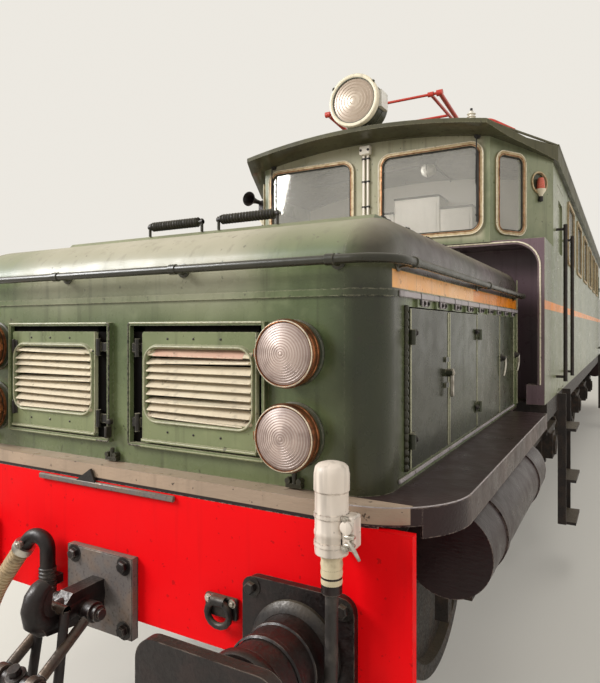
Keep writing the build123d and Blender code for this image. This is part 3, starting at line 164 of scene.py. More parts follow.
class Shade(Nodes):
    """A material and its node tree."""

    def __init__(self, name: str) -> None:
        """Start an empty material.

        Args:
            name: the finish's name.
        """
        self.material = bpy.data.materials.new(name)
        self.material.use_nodes = True
        super().__init__(self.material.node_tree)
        self.place = self.put("ShaderNodeTexCoord", out="Object")

    def mottle(self, size: float, stretch: Point = (1, 1, 1), detail: float = 3.0) -> Socket:
        """Cloudy patches of a real size.

        Args:
            size: how far one patch is from the next, in millimetres.
            stretch: how much longer the patches are along X, Y and Z.
            detail: octaves of finer mottling.

        Returns:
            The patches' value, about 0.3 to 0.7.
        """
        scale = tuple(1000 / (size * s) for s in stretch)
        place = self.put("ShaderNodeMapping", {"Vector": self.place, "Scale": scale})
        return self.put("ShaderNodeTexNoise", {"Vector": place, "Scale": 1.0, "Detail": detail})

    def coat(self, under: object, over: object, where: Socket, span: Span, amount: float = 1.0) -> Socket:
        """Lay one colour over another.

        Args:
            under: the colour beneath, as a socket or a linear colour.
            over: the colour on top.
            where: a value that says where the coat lies.
            span: the values at which it starts to show and is full.
            amount: how much the full coat covers.

        Returns:
            The colour.
        """
        share = self.put(RANGE, {0: where, 1: span[0], 2: span[1], 3: 0.0, 4: amount})
        return self.put(MIX, {0: share, 6: under, 7: over}, out=2, data_type="RGBA")

    def settled(self) -> Socket:
        """Where dust can lie, from 0 on a wall to 1 on a floor.

        Returns:
            The height of the surface's own direction.
        """
        looks = self.put("ShaderNodeNewGeometry", out="Normal")
        return self.put("ShaderNodeSeparateXYZ", {0: looks}, out=2)

    def edge_wear(self, width: float, nicks: Socket) -> Socket:
        """Where edges are rubbed, broken up by nicks.

        Args:
            width: how far from the edge the wear reaches, in metres.
            nicks: mottling that breaks the wear up.

        Returns:
            The wear, 0 to 1.
        """
        looks = self.put("ShaderNodeNewGeometry", out="Normal")
        turned = self.put("ShaderNodeBevel", {"Radius": width}, samples=3)
        apart = self.put("ShaderNodeVectorMath", {0: looks, 1: turned}, out="Value", operation="DOT_PRODUCT")
        rubbed = self.put(RANGE, {0: apart, 1: 0.995, 2: 0.9})
        broken = self.put(RANGE, {0: nicks, 1: 0.42, 2: 0.54})
        return self.put(MATH, {0: rubbed, 1: broken}, operation="MULTIPLY")

    def inside(self, zone: Zone) -> Socket:
        """Where a zone is.

        Args:
            zone: the zone.

        Returns:
            1 inside it and 0 outside.
        """
        bare = self.put("ShaderNodeVectorMath", {0: self.place}, operation="ABSOLUTE")
        result = None
        for index, span in enumerate((zone.x, zone.y, zone.z)):
            if span is None:
                continue
            value = self.put("ShaderNodeSeparateXYZ", {0: bare}, out=index)
            for edge, way in ((span[0], 1), (span[1], -1)):
                past = self.put(RANGE, {0: value, 1: edge - way * zone.soft, 2: edge + way * zone.soft})
                if result is None:
                    result = past
                else:
                    result = self.put(MATH, {0: result, 1: past}, operation="MULTIPLY")
        return result

    def painted(self, colour: object, zones: Sequence[Zone], cloud: Socket) -> object:
        """Paint zones over a colour.

        Args:
            colour: the colour beneath.
            zones: the zones.
            cloud: patches in which a zone's colour has faded.

        Returns:
            The colour.
        """
        for zone in zones:
            tone: object = linear(zone.colour)
            if zone.faded:
                tone = self.coat(tone, linear(zone.faded), cloud, (0.42, 0.62), 0.6)
            colour = self.coat(colour, tone, self.inside(zone), (0.0, 1.0))
        return colour

    def relief(self, *layers: tuple[Socket, float]) -> Socket:
        """A surface that isn't quite even.

        Args:
            *layers: heights from 0 to 1, each with its depth in metres.

        Returns:
            The surface's disturbed direction.
        """
        result = None
        for height, depth in layers:
            links: dict = {"Strength": 1.0, "Distance": depth, "Height": height}
            if result is not None:
                links["Normal"] = result
            result = self.put("ShaderNodeBump", links)
        return result

    def close(self, **sockets: object) -> Material:
        """Close the material with its shader.

        Args:
            **sockets: input names, with underscores for spaces, to sockets or values.

        Returns:
            The material.
        """
        links = {key.replace("_", " "): value for key, value in sockets.items()}
        surface = self.put("ShaderNodeBsdfPrincipled", links)
        self.put("ShaderNodeOutputMaterial", {"Surface": surface})
        return self.material


@dataclass(frozen=True)
class Enamel:
    """Brushed gloss enamel on steel sheet.

    It looks wet and a little wavy, faded in clouds, streaked where rain ran, rubbed pale
    along its edges and pitted dark where it has chipped.
    """

    name: str
    colour: str
    faded: str
    rubbed: str = "a8a288"
    pit: str = "2a261f"
    roughness: float = 0.24
    fade: float = 0.5
    dust: float = 0.3
    streaks: float = 0.4
    wear: float = 0.6
    waves: float = 0.012
    gloss: float = 0.15
    shine: float = 0.35
    brushed: Point = (1, 1, 1)
    zones: tuple[Zone, ...] = ()

    def make(self) -> Material:
        """Build the material.

        Returns:
            The material.
        """
        s = Shade(self.name)
        cloud = s.mottle(550)
        patch = s.mottle(90, detail=5)
        colour = s.coat(linear(self.colour), linear(self.faded), cloud, (0.38, 0.72), self.fade)
        colour = s.coat(colour, linear(self.faded), patch, (0.54, 0.7), self.fade * 0.5)
        colour = s.painted(colour, self.zones, cloud)
        colour = s.coat(colour, linear(GRIME), s.mottle(46, (1, 1, 14)), (0.56, 0.76), self.streaks)
        if self.wear > 0:
            nicks = s.mottle(16, detail=4)
            colour = s.coat(colour, linear(self.rubbed), s.edge_wear(0.006, nicks), (0.0, 1.0), self.wear)
            colour = s.coat(colour, linear(self.pit), s.mottle(30, detail=6), (0.67, 0.71), self.wear)
        up = s.settled()
        colour = s.coat(colour, linear(DUST), up, (0.4, 0.98), self.dust)
        rough = s.put(RANGE, {0: patch, 1: 0.3, 2: 0.75, 3: self.roughness, 4: self.roughness + 0.2})
        rough = s.put(MATH, {0: up, 1: self.dust * 0.9, 2: rough}, operation="MULTIPLY_ADD")
        # Brush marks about 4 mm apart are drawn 12 mm apart so that they show.
        layers = [(s.mottle(12, self.brushed), 0.0004 * max(self.brushed))]
        if self.waves > 0:
            layers.insert(0, (s.mottle(340, detail=1), self.waves))
        return s.close(
            Base_Color=colour, Roughness=rough, Normal=s.relief(*layers), Specular_IOR_Level=self.shine,
            Coat_Weight=self.gloss, Coat_Roughness=0.2,
        )


@dataclass(frozen=True)
class CastIron:
    """Cast or forged iron under old black paint and grease.

    It is dull and gritty, blotched brown by rust, with bright rubs on its edges.
    """

    name: str
    colour: str = "2b2522"
    rust: str = "5a4132"
    roughness: float = 0.5
    rusted: float = 0.5
    metallic: float = 0.3
    grit: float = 0.001
    dust: float = 0.25
    wear: float = 0.0

    def make(self) -> Material:
        """Build the material.

        Returns:
            The material.
        """
        s = Shade(self.name)
        blotch = s.mottle(70, detail=6)
        speck = s.mottle(12, detail=4)
        colour = s.coat(linear(self.colour), linear(self.rust), blotch, (0.46, 0.64), self.rusted)
        colour = s.coat(colour, linear("14110f"), speck, (0.58, 0.7), 0.5)
        if self.wear > 0:
            colour = s.coat(colour, linear("9a9084"), s.edge_wear(0.005, blotch), (0.0, 1.0), self.wear)
        colour = s.coat(colour, linear("8d8069"), s.settled(), (0.35, 0.95), self.dust)
        rough = s.put(RANGE, {0: speck, 1: 0.3, 2: 0.7, 3: self.roughness - 0.12, 4: self.roughness + 0.2})
        # Sand-cast skin of 2 mm grit is drawn at 12 mm so that it shows.
        normal = s.relief((speck, self.grit), (blotch, self.grit * 2.5))
        return s.close(Base_Color=colour, Roughness=rough, Normal=normal, Metallic=self.metallic)


@dataclass(frozen=True)
class BareMetal:
    """Brass, copper or rubbed steel: the metal's own colour, dulled in patches by tarnish."""

    name: str
    colour: str
    tarnish: str
    roughness: float = 0.3
    amount: float = 0.6
    metallic: float = 0.9

    def make(self) -> Material:
        """Build the material.

        Returns:
            The material.
        """
        s = Shade(self.name)
        patch = s.mottle(35, detail=6)
        colour = s.coat(linear(self.colour), linear(self.tarnish), patch, (0.42, 0.64), self.amount)
        rough = s.put(RANGE, {0: patch, 1: 0.35, 2: 0.7, 3: self.roughness, 4: self.roughness + 0.25})
        # Polishing scratches under 1 mm apart are drawn 6 mm apart so that they show.
        normal = s.relief((s.mottle(6), 0.0003))
        return s.close(Base_Color=colour, Roughness=rough, Normal=normal, Metallic=self.metallic)


@dataclass(frozen=True)
class Glass:
    """Drawn sheet glass: clear and sharp in its reflections, with a thin film of dirt."""

    name: str
    tint: str = "e3e0d8"
    film: float = 0.08
    alpha: float = 0.16

    def make(self) -> Material:
        """Build the material.

        Returns:
            The material.
        """
        s = Shade(self.name)
        smear = s.mottle(700, detail=1)
        alpha = s.put(RANGE, {0: smear, 1: 0.3, 2: 0.7, 3: self.alpha, 4: self.alpha + self.film})
        return s.close(Base_Color=linear(self.tint), Roughness=0.04, Metallic=0.4, Alpha=alpha)


@dataclass(frozen=True)
class LensGlass:
    """Pressed lens glass over a silvered bowl.

    Its colour is painted: pale rings round the lamp's middle are painted highlights on the prisms, the silvered bowl
    behind shows as a painted reflection in warm grey, and it darkens towards the rim as painted shade.
    """

    name: str
    # The pale tone is painted highlight; the warm and deep tones are painted reflection and shade.
    pale: str = "ddcfc4"
    warm: str = "a68f85"
    deep: str = "64504a"
    ring: float = 10.0
    rings: float = 0.55
    roughness: float = 0.42
    centres: tuple[tuple[float, float], ...] = ((0.9, RAIL + 2.09), (0.9, RAIL + 1.78))

    def make(self) -> Material:
        """Build the material.

        Returns:
            The material.
        """
        s = Shade(self.name)
        bare = s.put("ShaderNodeVectorMath", {0: s.place}, operation="ABSOLUTE")
        across = s.put("ShaderNodeSeparateXYZ", {0: bare}, out=1)
        height = s.put("ShaderNodeSeparateXYZ", {0: bare}, out=2)
        nearest = None
        for y, z in self.centres:
            side = s.put(MATH, {0: across, 1: y}, operation="SUBTRACT")
            up = s.put(MATH, {0: height, 1: z}, operation="SUBTRACT")
            flat = s.put("ShaderNodeCombineXYZ", {0: side, 1: up})
            away = s.put("ShaderNodeVectorMath", {0: flat}, out="Value", operation="LENGTH")
            nearest = away if nearest is None else s.put(MATH, {0: nearest, 1: away}, operation="MINIMUM")
        ring_glint = s.put(MATH, {0: nearest, 1: 2000 * pi / self.ring}, operation="MULTIPLY")
        ring_glint = s.put(MATH, {0: ring_glint}, operation="SINE")
        # Pale rings of painted highlight, then painted shade towards the rim and dark patches of painted reflection.
        colour = s.coat(linear(self.warm), linear(self.pale), ring_glint, (-0.8, 1.0), self.rings)
        colour = s.coat(colour, linear(self.deep), nearest, (0.05, 0.115), 0.5)
        colour = s.coat(colour, linear(self.deep), s.mottle(55, detail=4), (0.5, 0.68), 0.45)
        return s.close(
            Base_Color=colour, Roughness=self.roughness, Metallic=0.15, Coat_Weight=0.15,
            Coat_Roughness=self.roughness / 2,
        )


@dataclass(frozen=True)
class Rubber:
    """Moulded rubber, cable sheath or rubbed canvas: matt, with a fine grain and grey scuffs."""

    name: str
    colour: str
    scuff: str
    roughness: float = 0.62
    shine: float = 0.5

    def make(self) -> Material:
        """Build the material.

        Returns:
            The material.
        """
        s = Shade(self.name)
        patch = s.mottle(50, detail=6)
        colour = s.coat(linear(self.colour), linear(self.scuff), patch, (0.48, 0.66), 0.6)
        rough = s.put(RANGE, {0: patch, 1: 0.35, 2: 0.7, 3: self.roughness - 0.12, 4: self.roughness + 0.15})
        # Canvas threads about 1 mm apart are drawn 8 mm apart so that they show.
        normal = s.relief((s.mottle(8, detail=4), 0.0006))
        return s.close(Base_Color=colour, Roughness=rough, Normal=normal, Specular_IOR_Level=self.shine)


@dataclass(frozen=True)
class Porcelain:
    """Glazed porcelain: a glassy skin over brown or white clay, with dust in its folds."""

    name: str
    colour: str

    def make(self) -> Material:
        """Build the material.

        Returns:
            The material.
        """
        s = Shade(self.name)
        colour = s.coat(linear(self.colour), linear("6b5a48"), s.mottle(80, detail=4), (0.45, 0.65), 0.4)
        colour = s.coat(colour, linear(DUST), s.settled(), (0.35, 0.95), 0.3)
        return s.close(Base_Color=colour, Roughness=0.22, Coat_Weight=0.7, Coat_Roughness=0.08)


class MeshWork:
    """Collects the faces of one piece, turned to its end, before it becomes an object."""

    def __init__(self, end: End = End.A) -> None:
        """Start an empty piece.

        Args:
            end: the end that the piece belongs to. Points are given as for end A.
        """
        self.turn = end.value
        self.verts: list[Point] = []
        self.faces: list[Sequence[int]] = []
        self.marks: list[int] = []
        self.smooth: list[bool] = []

    def add(self, verts: Iterable[Sequence[float]], faces: Iterable[Sequence[int]], mark: int, smooth: bool) -> None:
        """Add points and faces.

        Args:
            verts: points as for end A.
            faces: indices into those points.
            mark: which of the piece's finishes they take.
            smooth: whether the faces are shaded smooth.
        """
        start = len(self.verts)
        self.verts.extend((v[0] * self.turn, v[1] * self.turn, v[2]) for v in verts)
        for face in faces:
            self.faces.append([start + i for i in face])
            self.marks.append(mark)
            self.smooth.append(smooth)

    def block(self, low: Point, high: Point, chamfer: float = 0.002, mark: int = 0) -> None:
        """Add a block with chamfered edges.

        Args:
            low: one corner.
            high: the opposite corner.
            chamfer: width of the chamfer.
            mark: which finish it takes.
        """
        work = bmesh.new()
        bmesh.ops.create_cube(work, size=1.0)
        size = [abs(h - l) for l, h in zip(low, high)]
        bmesh.ops.scale(work, vec=size, verts=work.verts)
        if chamfer > 0:
            width = min(chamfer, min(size) * 0.4)
            bmesh.ops.bevel(work, geom=work.edges[:], offset=width, segments=1, affect="EDGES")
        bmesh.ops.translate(work, vec=[(h + l) / 2 for l, h in zip(low, high)], verts=work.verts)
        work.verts.index_update()
        self.add([v.co for v in work.verts], [[v.index for v in f.verts] for f in work.faces], mark, False)
        work.free()

    def prism(self, outline: Sequence[Span], basis: Matrix, depth: float, mark: int) -> None:
        """Add a closed outline drawn on the basis's XY plane and raised along its Z.

        Args:
            outline: points in order.
            basis: placement of the outline.
            depth: height of the prism.
            mark: which finish it takes.
        """
        count = len(outline)
        verts = [basis @ Vector((u, v, 0)) for u, v in outline]
        verts += [basis @ Vector((u, v, depth)) for u, v in outline]
        walls = [(i, (i + 1) % count, (i + 1) % count + count, i + count) for i in range(count)]
        ends = [list(range(count))[::-1], list(range(count, 2 * count))]
        self.add(verts, walls + ends, mark, True)

    def loft(self, sections: Sequence[Sequence[Sequence[float]]], mark: int = 0) -> None:
        """Add a closed form through sections that have the same number of points.

        Args:
            sections: the points of each section, in the same order.
            mark: which finish it takes.
        """
        count = len(sections[0])
        verts = [point for section in sections for point in section]
        faces = [list(range(count))[::-1], list(range(len(verts) - count, len(verts)))]
        for i in range(0, len(verts) - count, count):
            faces += [[i + k, i + (k + 1) % count, i + (k + 1) % count + count, i + k + count] for k in range(count)]
        self.add(verts, faces, mark, True)

    def lathe(
        self, profile: Sequence[Span], origin: Point, axis: Point, steps: int, mark: int = 0, smooth: bool = True
    ) -> None:
        """Add a turned form.

        Args:
            profile: pairs of distance along the axis and radius.
            origin: where the distance is 0.
            axis: the way the distance grows.
            steps: faces round the form.
            mark: which finish it takes.
            smooth: whether the faces are shaded smooth.
        """
        way = Vector(axis).normalized()
        across = way.orthogonal().normalized()
        other = way.cross(across)
        verts: list[Vector] = []
        rings: list[list[int]] = []
        for along, radius in profile:
            center = Vector(origin) + way * along
            if radius < 1e-6:
                rings.append([len(verts)] * steps)
                verts.append(center)
                continue
            rings.append(list(range(len(verts), len(verts) + steps)))
            for i in range(steps):
                angle = 2 * pi * i / steps
                verts.append(center + across * radius * cos(angle) + other * radius * sin(angle))
        faces = []
        for first, second in zip(rings, rings[1:]):
            for i in range(steps):
                j = (i + 1) % steps
                loop = [first[i], first[j], second[j], second[i]]
                short = [v for n, v in enumerate(loop) if v != loop[n - 1]]
                if len(short) > 2:
                    faces.append(short)
        self.add(verts, faces, mark, smooth)

    def tube(
        self, path: Sequence[Point], radius: float | Sequence[float], steps: int = 10, mark: int = 0, loop: bool = False
    ) -> None:
        """Add a round tube along points.

        Args:
            path: points along the middle.
            radius: radius of the tube, or one for each point.
            steps: faces round the tube.
            mark: which finish it takes.
            loop: whether the last point joins the first.
        """
        points = [Vector(p) for p in path]
        count = len(points)
        radii = [radius] * count if isinstance(radius, float) else list(radius)
        ways = []
        for i in range(count):
            after = points[(i + 1) % count] if loop else points[min(i + 1, count - 1)]
            before = points[i - 1] if loop or i else points[0]
            ways.append((after - before).normalized())
        across = ways[0].orthogonal().normalized()
        verts: list[Vector] = []
        for i in range(count):
            across = (across - ways[i] * across.dot(ways[i])).normalized()
            other = ways[i].cross(across)
            for k in range(steps):
                angle = 2 * pi * k / steps
                verts.append(points[i] + (across * cos(angle) + other * sin(angle)) * radii[i])
        faces: list[list[int]] = []
        for i in range(count if loop else count - 1):
            n = (i + 1) % count
            for k in range(steps):
                m = (k + 1) % steps
                faces.append([i * steps + k, i * steps + m, n * steps + m, n * steps + k])
        if not loop:
            last = (count - 1) * steps
            faces += [list(range(steps))[::-1], list(range(last, last + steps))]
        self.add(verts, faces, mark, True)

    def bolt(self, at: Point, normal: Point, across: float, mark: int = 0) -> None:
        """Add a hexagon bolt head on its washer.

        Args:
            at: where the head sits.
            normal: the way it looks.
            across: size over the flats.
            mark: which finish it takes.
        """
        self.lathe([(-0.002, across * 0.95), (0.003, across * 0.95), (0.003, 0)], at, normal, 14, mark, False)
        cap = [(0, across * 0.58), (across * 0.5, across * 0.58), (across * 0.62, across * 0.45), (across * 0.62, 0)]
        self.lathe(cap, at, normal, 6, mark, False)

    def rivet(self, at: Point, normal: Point, size: float, mark: int = 0) -> None:
        """Add a round rivet head.

        Args:
            at: where the head sits.
            normal: the way it looks.
            size: radius of the head.
            mark: which finish it takes.
        """
        arc = [(-0.001, size), (size * 0.35, size * 0.88), (size * 0.6, size * 0.55), (size * 0.7, 0)]
        self.lathe(arc, at, normal, 8, mark)

    def make(self, name: str, finishes: Sequence[Material], body: str, slot: str) -> bpy.types.Object:
        """Make the object and let it ride on a body.

        Args:
            name: the piece's name.
            finishes: its materials, in the order of the marks.
            body: the CAD body that carries it.
            slot: the record's material slot; not used.

        Returns:
            The new object.
        """
        mesh = bpy.data.meshes.new(name)
        mesh.from_pydata([tuple(v) for v in self.verts], [], [list(f) for f in self.faces])
        for material in finishes:
            mesh.materials.append(material)
        mesh.polygons.foreach_set("material_index", self.marks)
        mesh.polygons.foreach_set("use_smooth", self.smooth)
        work = bmesh.new()
        work.from_mesh(mesh)
        bmesh.ops.recalc_face_normals(work, faces=work.faces)
        work.to_mesh(mesh)
        work.free()
        mesh.set_sharp_from_angle(angle=radians(SHARP))
        obj = bpy.data.objects.new(name, mesh)
        bpy.context.scene.collection.objects.link(obj)
        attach(obj, body)
        LOG.info("%s: %d faces on %s", name, len(mesh.polygons), body)
        return obj


def facing(origin: Point, right: Point, up: Point) -> Matrix:
    """A placement whose X runs right, whose Y runs up and whose Z looks out.

    Args:
        origin: where its origin is.
        right: the way of X.
        up: the way of Y.

    Returns:
        The placement.
    """
    u = Vector(right).normalized()
    v = Vector(up).normalized()
    placed = Matrix((u, v, u.cross(v))).transposed().to_4x4()
    placed.translation = Vector(origin)
    return placed


def rounded(width: float, height: float, radius: float, steps: int) -> list[Span]:
    """The outline of a rectangle with round corners, about its centre.

    Args:
        width: size across.
        height: size up.
        radius: corner radius.
        steps: points in each corner.

    Returns:
        Its points, anticlockwise.
    """
    points = []
    for index, (sx, sy) in enumerate(((1, 1), (-1, 1), (-1, -1), (1, -1))):
        cx, cy = sx * (width / 2 - radius), sy * (height / 2 - radius)
        for k in range(steps + 1):
            angle = pi / 2 * (index + k / steps)
            points.append((cx + radius * cos(angle), cy + radius * sin(angle)))
    return points


def helix(start: Point, finish: Point, radius: float, turns: float, steps: int = 14) -> list[Point]:
    """Points of a helix from one point to another.

    Args:
        start: where its axis starts.
        finish: where its axis ends.
        radius: radius of its turns.
        turns: how many turns.
        steps: points in a turn.

    Returns:
        Its points.
    """
    a, b = Vector(start), Vector(finish)
    way = (b - a).normalized()
    across = way.orthogonal().normalized()
    other = way.cross(across)
    count = int(turns * steps)
    points = []
    for i in range(count + 1):
        angle = 2 * pi * i / steps
        at = a.lerp(b, i / count) + across * radius * cos(angle) + other * radius * sin(angle)
        points.append(tuple(at))
    return points


class Finishes:
    """The locomotive's materials, each made once."""

    def __init__(self) -> None:
        """Build every finish."""
        strip = (RAIL + 2.334, RAIL + 2.402)
        stripe = Zone("f08a06", x=(0, 7.08), y=(1.225, 1.6), z=strip, faded="d9861f")
        # The stripe's paler front is a painted highlight.
        stripe_highlight = Zone("f8bb78", x=(7.08, 8.38), y=(1.225, 1.6), z=strip, faded="f0a24c")
        # The dark band on the hood's upper sides is a painted reflection of a dark roof.
        shoulder_dark_reflection = Zone("37332b", x=(5.5, 8.3), y=(1.0, 1.3), z=(RAIL + 2.405, RAIL + 2.68), faded="55464a")
        # The pale band over the hood's top front is a painted highlight: glare on its rounded top.
        bleached = Zone("8f8d76", x=(8.1, 8.7), y=(-1, 0.7), z=(RAIL + 2.32, RAIL + 2.8), soft=0.12, faded="b5ae9a")
        shaded = Zone("272b1b", x=(8.25, 8.7), y=(1.06, 1.5), z=(1.4, RAIL + 2.42), soft=0.08, faded="3c3b28")
        # The door's front leaf is painted darker still: painted dark reflection, darkest towards the front corner.
        fore_leaf = Zone("22261a", x=(7.55, 8.3), soft=0.06, faded="363629")
        # The hood's front corner dome is painted dark: a painted reflection, like the shoulder's.
        dome = Zone("37372b", x=(8.2, 8.8), y=(1.12, 1.4), z=(RAIL + 2.4, RAIL + 2.8), soft=0.06, faded="4d4538")
        # The cab's front wall is painted paler: painted light where it faces the light.
        lit_cab_front = Zone("9a967c", x=(5.55, 5.75), y=(-1, 1.0), z=(RAIL + 2.9, RAIL + 4), soft=0.02, faded="b4ad95")
        # The hood's side by the rear doors takes the doors' darker green, a painted reflection of a dark hall.
        rear_doors_dark_reflection = Zone("353a2a", x=(5.77, 7.015), y=(1.2424, 1.6), z=(RAIL + 1.62, RAIL + 2.268), faded="4c4b38")
        arch = Zone("6a565c", x=(5.19, 5.636), y=(0, 1.4493), z=(1.6, RAIL + 2.878), faded="7b686c")
        slats = Zone("d8cdb2", x=(8.47, 8.53), y=(0.1745, 0.7165), z=(RAIL + 1.798, RAIL + 2.087), faded="bfa994")
        # The hinges in the gap between the panels are painted near black: painted shade.
        hinge_gap_shade = Zone("1a1613", x=(8.49, 8.56), y=(0.05, 0.1385))
        fascia = Zone("ac957f", x=(8.502, 8.7), y=(-1, 1.36), z=(RAIL + 1.524, RAIL + 1.6), faded="8d7c6c")
        shadow = Zone("241c1b", x=(8.5965, 8.7), z=(RAIL + 1.4, RAIL + 1.524))
        side = Zone("372826", y=(1.4965, 1.7), z=(RAIL + 1.47, RAIL + 1.578), faded="55423d")
        self.hood = Enamel(
            "hood green gloss enamel", "525d3d", "838a63", roughness=0.2, dust=0.5,
            zones=(shoulder_dark_reflection, bleached, shaded, dome, stripe, stripe_highlight, rear_doors_dark_reflection),
        ).make()
        # The door green is darker than the hood green as a painted reflection of a dark hall.
        self.door = Enamel(
            "door green gloss enamel", "353a2a", "4c4b38", roughness=0.16, gloss=0.1, shine=0.25, streaks=0.6,
            zones=(fore_leaf,),
        ).make()
        self.body = Enamel(
            "body green gloss enamel", "6f7559", "97977b", zones=(stripe, lit_cab_front, arch), streaks=0.3, gloss=0.1, shine=0.3
        ).make()
        self.louvre = Enamel(
            "louvre green enamel on pressed steel", "6b7351", "8c9068", dust=0.5, zones=(slats, hinge_gap_shade)
        ).make()
        slat = {"roughness": 0.5, "waves": 0.0, "gloss": 0.1}
        self.slat = Enamel("slat bleached enamel", "dccfb4", "b7a189", "efe6d0", "5c5038", **slat).make()
        self.pink = Enamel("slat pink primer", "c79a86", "dcbfa6", "efe6d0", "5c4038", **slat).make()
        self.roof = Enamel(
            "roof green weathered enamel", "454230", "66634a", roughness=0.45, dust=0.45, gloss=0.0, shine=0.2
        ).make()
        self.red = Enamel(
            "buffer beam red enamel", "e4000a", "ee060c", "5c1a14", "4a0f0c", 0.5, 0.4, 0.0, 0.08, 0.35, 0.004,
            gloss=0.0, shine=0.12,
        ).make()
        self.deck = Enamel(
            "walkway brown gloss enamel", "281b1c", "392928", "a08e82", "171213", 0.24, 0.5, 0.02, 0.2, 0.8, 0.006,
            gloss=0.05, shine=0.2, brushed=(1, 4, 1), zones=(fascia, shadow, side),
        ).make()
        self.cream = Enamel(
            "cab cream enamel", "efe6d8", "e2d8c8", wear=0.0, waves=0.0, roughness=0.6, streaks=0.1,
            brushed=(0.2, 0.2, 0.2),
        ).make()
        self.rail = Enamel(
            "handrail olive enamel on steel tube", "25241a", "3b382a", "8a8468", wear=0.35, waves=0.0, dust=0.06
        ).make()
        self.black_iron = CastIron(
            "buffer black cast iron", "140c0c", "2e1d1a", 0.4, 0.4, 0.2, dust=0.04, wear=0.5
        ).make()
        self.hook_iron = CastIron("hook plate grey iron", "6b6461", "7a6453", 0.5, 0.6, 0.3, wear=0.7).make()
        self.step = CastIron("step black iron", "282220", "43342b", 0.5, 0.4, 0.2, dust=0.3, wear=0.4).make()
        # Near-black sheets in the recess gaps and behind the slats: painted shade.
        self.soot = Rubber("recess painted shade black", "0a0807", "120e0c", 0.85, 0.05).make()
        self.link = CastIron(
            "coupling rubbed forged iron", "443b36", "5d4a3b", 0.36, 0.6, 0.5, dust=0.1, wear=0.9
        ).make()
        self.bogie = CastIron("bogie oily cast steel", "29231f", "4a382b", 0.6, 0.6, 0.2).make()
        self.wheel = CastIron("wheel forged steel", "35302c", "5a4636", 0.45, 0.4, 0.5).make()
        self.motor = CastIron("motor case cast iron", "24201e", "3c3028", 0.6, 0.4, 0.15).make()
        self.dark = CastIron("catch black iron", "211d1b", "43372d", 0.45, 0.3, 0.25).make()
        self.brass = BareMetal("window frame brass", "b8a583", "a08258", 0.45, 0.7, 0.3).make()
        self.copper = BareMetal("lamp rim copper", "a86a45", "4c2c20", 0.26, 0.8, 0.85).make()
        self.steel = BareMetal("latch rubbed steel", "c3bdb2", "7a6f62", 0.32, 0.6, 0.9).make()
        self.bus = BareMetal("bus bar copper", "a5694a", "5f6e58", 0.4, 0.7, 0.8).make()
        self.glass = Glass("window drawn glass").make()
        self.lens = LensGlass("headlamp pressed glass").make()
        self.roof_lens = LensGlass(
            "roof lamp pressed glass", "dfd3c2", "b8a794", "8f7a68", 34.0, 0.25, 0.35, ((0.0, RAIL + 4.09),)
        ).make()
        self.tail_lens = LensGlass("tail lamp red glass", "f29a82", "dc6a52", "a8402f", 14.0, roughness=0.3).make()
        self.panto = Enamel(
            "pantograph red enamel on steel tube", "b8352a", "c65a48", "5a3a30", wear=0.6, waves=0.0
        ).make()
        self.porcelain = Porcelain("insulator brown porcelain", "5b3322").make()
        self.white_porcelain = Porcelain("insulator white porcelain", "e6e0d2").make()
        self.rubber = Rubber("lead black rubber", "26221f", "4a443e").make()
        self.gasket = Rubber("window gasket rubber", "1f1d1a", "3c3833").make()
        self.sleeve = Rubber("jumper sleeve canvas", "cdbf9f", "93836a").make()
        self.hose = Rubber("brake hose canvas", "b09a78", "5f4f40").make()
        self.ivory = Enamel(
            "jumper head ivory enamel", "ddd1c4", "ccbcab", "5a4a3c", "3c3028", 0.35, 0.5, 0.1, 0.5, 0.7, 0.0
        ).make()
        self.rim = Enamel("lamp rim cream enamel", "e6dcc4", "d2c3a4", "6d5a44", "4a3c2e", 0.3, waves=0.0).make()
        self.clip = Enamel("hinge strip grey enamel", "9d9598", "b5aba6", "57504c", "4a4440", 0.35, waves=0.0).make()
        # This pale enamel is worn paint on folded edges and trims, and painted highlight on the louvre rims and the
        # recess's top edge.
        self.edge = Enamel("folded edge worn enamel with painted highlight", "a3a383", "c4bfa2", "57504c", "4a4440", 0.4, waves=0.0).make()
        self.lamp = Enamel("lamp case olive enamel", "34382c", "4b4e3c", "8a8068", roughness=0.32, waves=0.0).make()
        self.plate = Enamel("plate white enamel", "e9e6dd", "d5cfc0", "8a8272", wear=0.3, waves=0.0, dust=0.1).make()


@dataclass
class CadDress:
    """Gives every CAD node its finish and soft edges."""

    nodes: dict
    finishes: Finishes
    edge: float = 0.003
    angle: float = 35.0

    def dress(self) -> None:
        """Assign the finishes by how the names start, and add a soft edge to each node but the glass."""
        f = self.finishes
        starts = (
            ("hood_door", f.door), ("hood_fittings", f.rail), ("hood", f.hood), ("cab_interior", f.cream),
            ("cab", f.body), ("side_walls", f.body), ("panto", f.panto), ("bogie_frame", f.bogie),
            ("running_gear", f.bogie), ("steps_and_rails", f.step), ("underframe", f.step), ("wheelset", f.wheel),
            ("body_lamps", f.lamp), ("buffer_beam", f.red), ("deck", f.deck), ("draw_gear", f.black_iron),
            ("hoses", f.rubber), ("louvres", f.louvre), ("roof", f.roof), ("traction_motors", f.motor),
            ("window_frames", f.brass), ("window_glass", f.glass),
        )
        for name, obj in self.nodes.items():
            obj.data.materials.clear()
            obj.data.materials.append(next(finish for start, finish in starts if name.startswith(start)))
            if name == "window_glass":
                continue
            soft = obj.modifiers.new("soft edge", "BEVEL")
            soft.width = self.edge
            soft.segments = 2
            soft.limit_method = "ANGLE"
            soft.angle_limit = radians(self.angle)
        LOG.info("dressed %d CAD nodes", len(self.nodes))


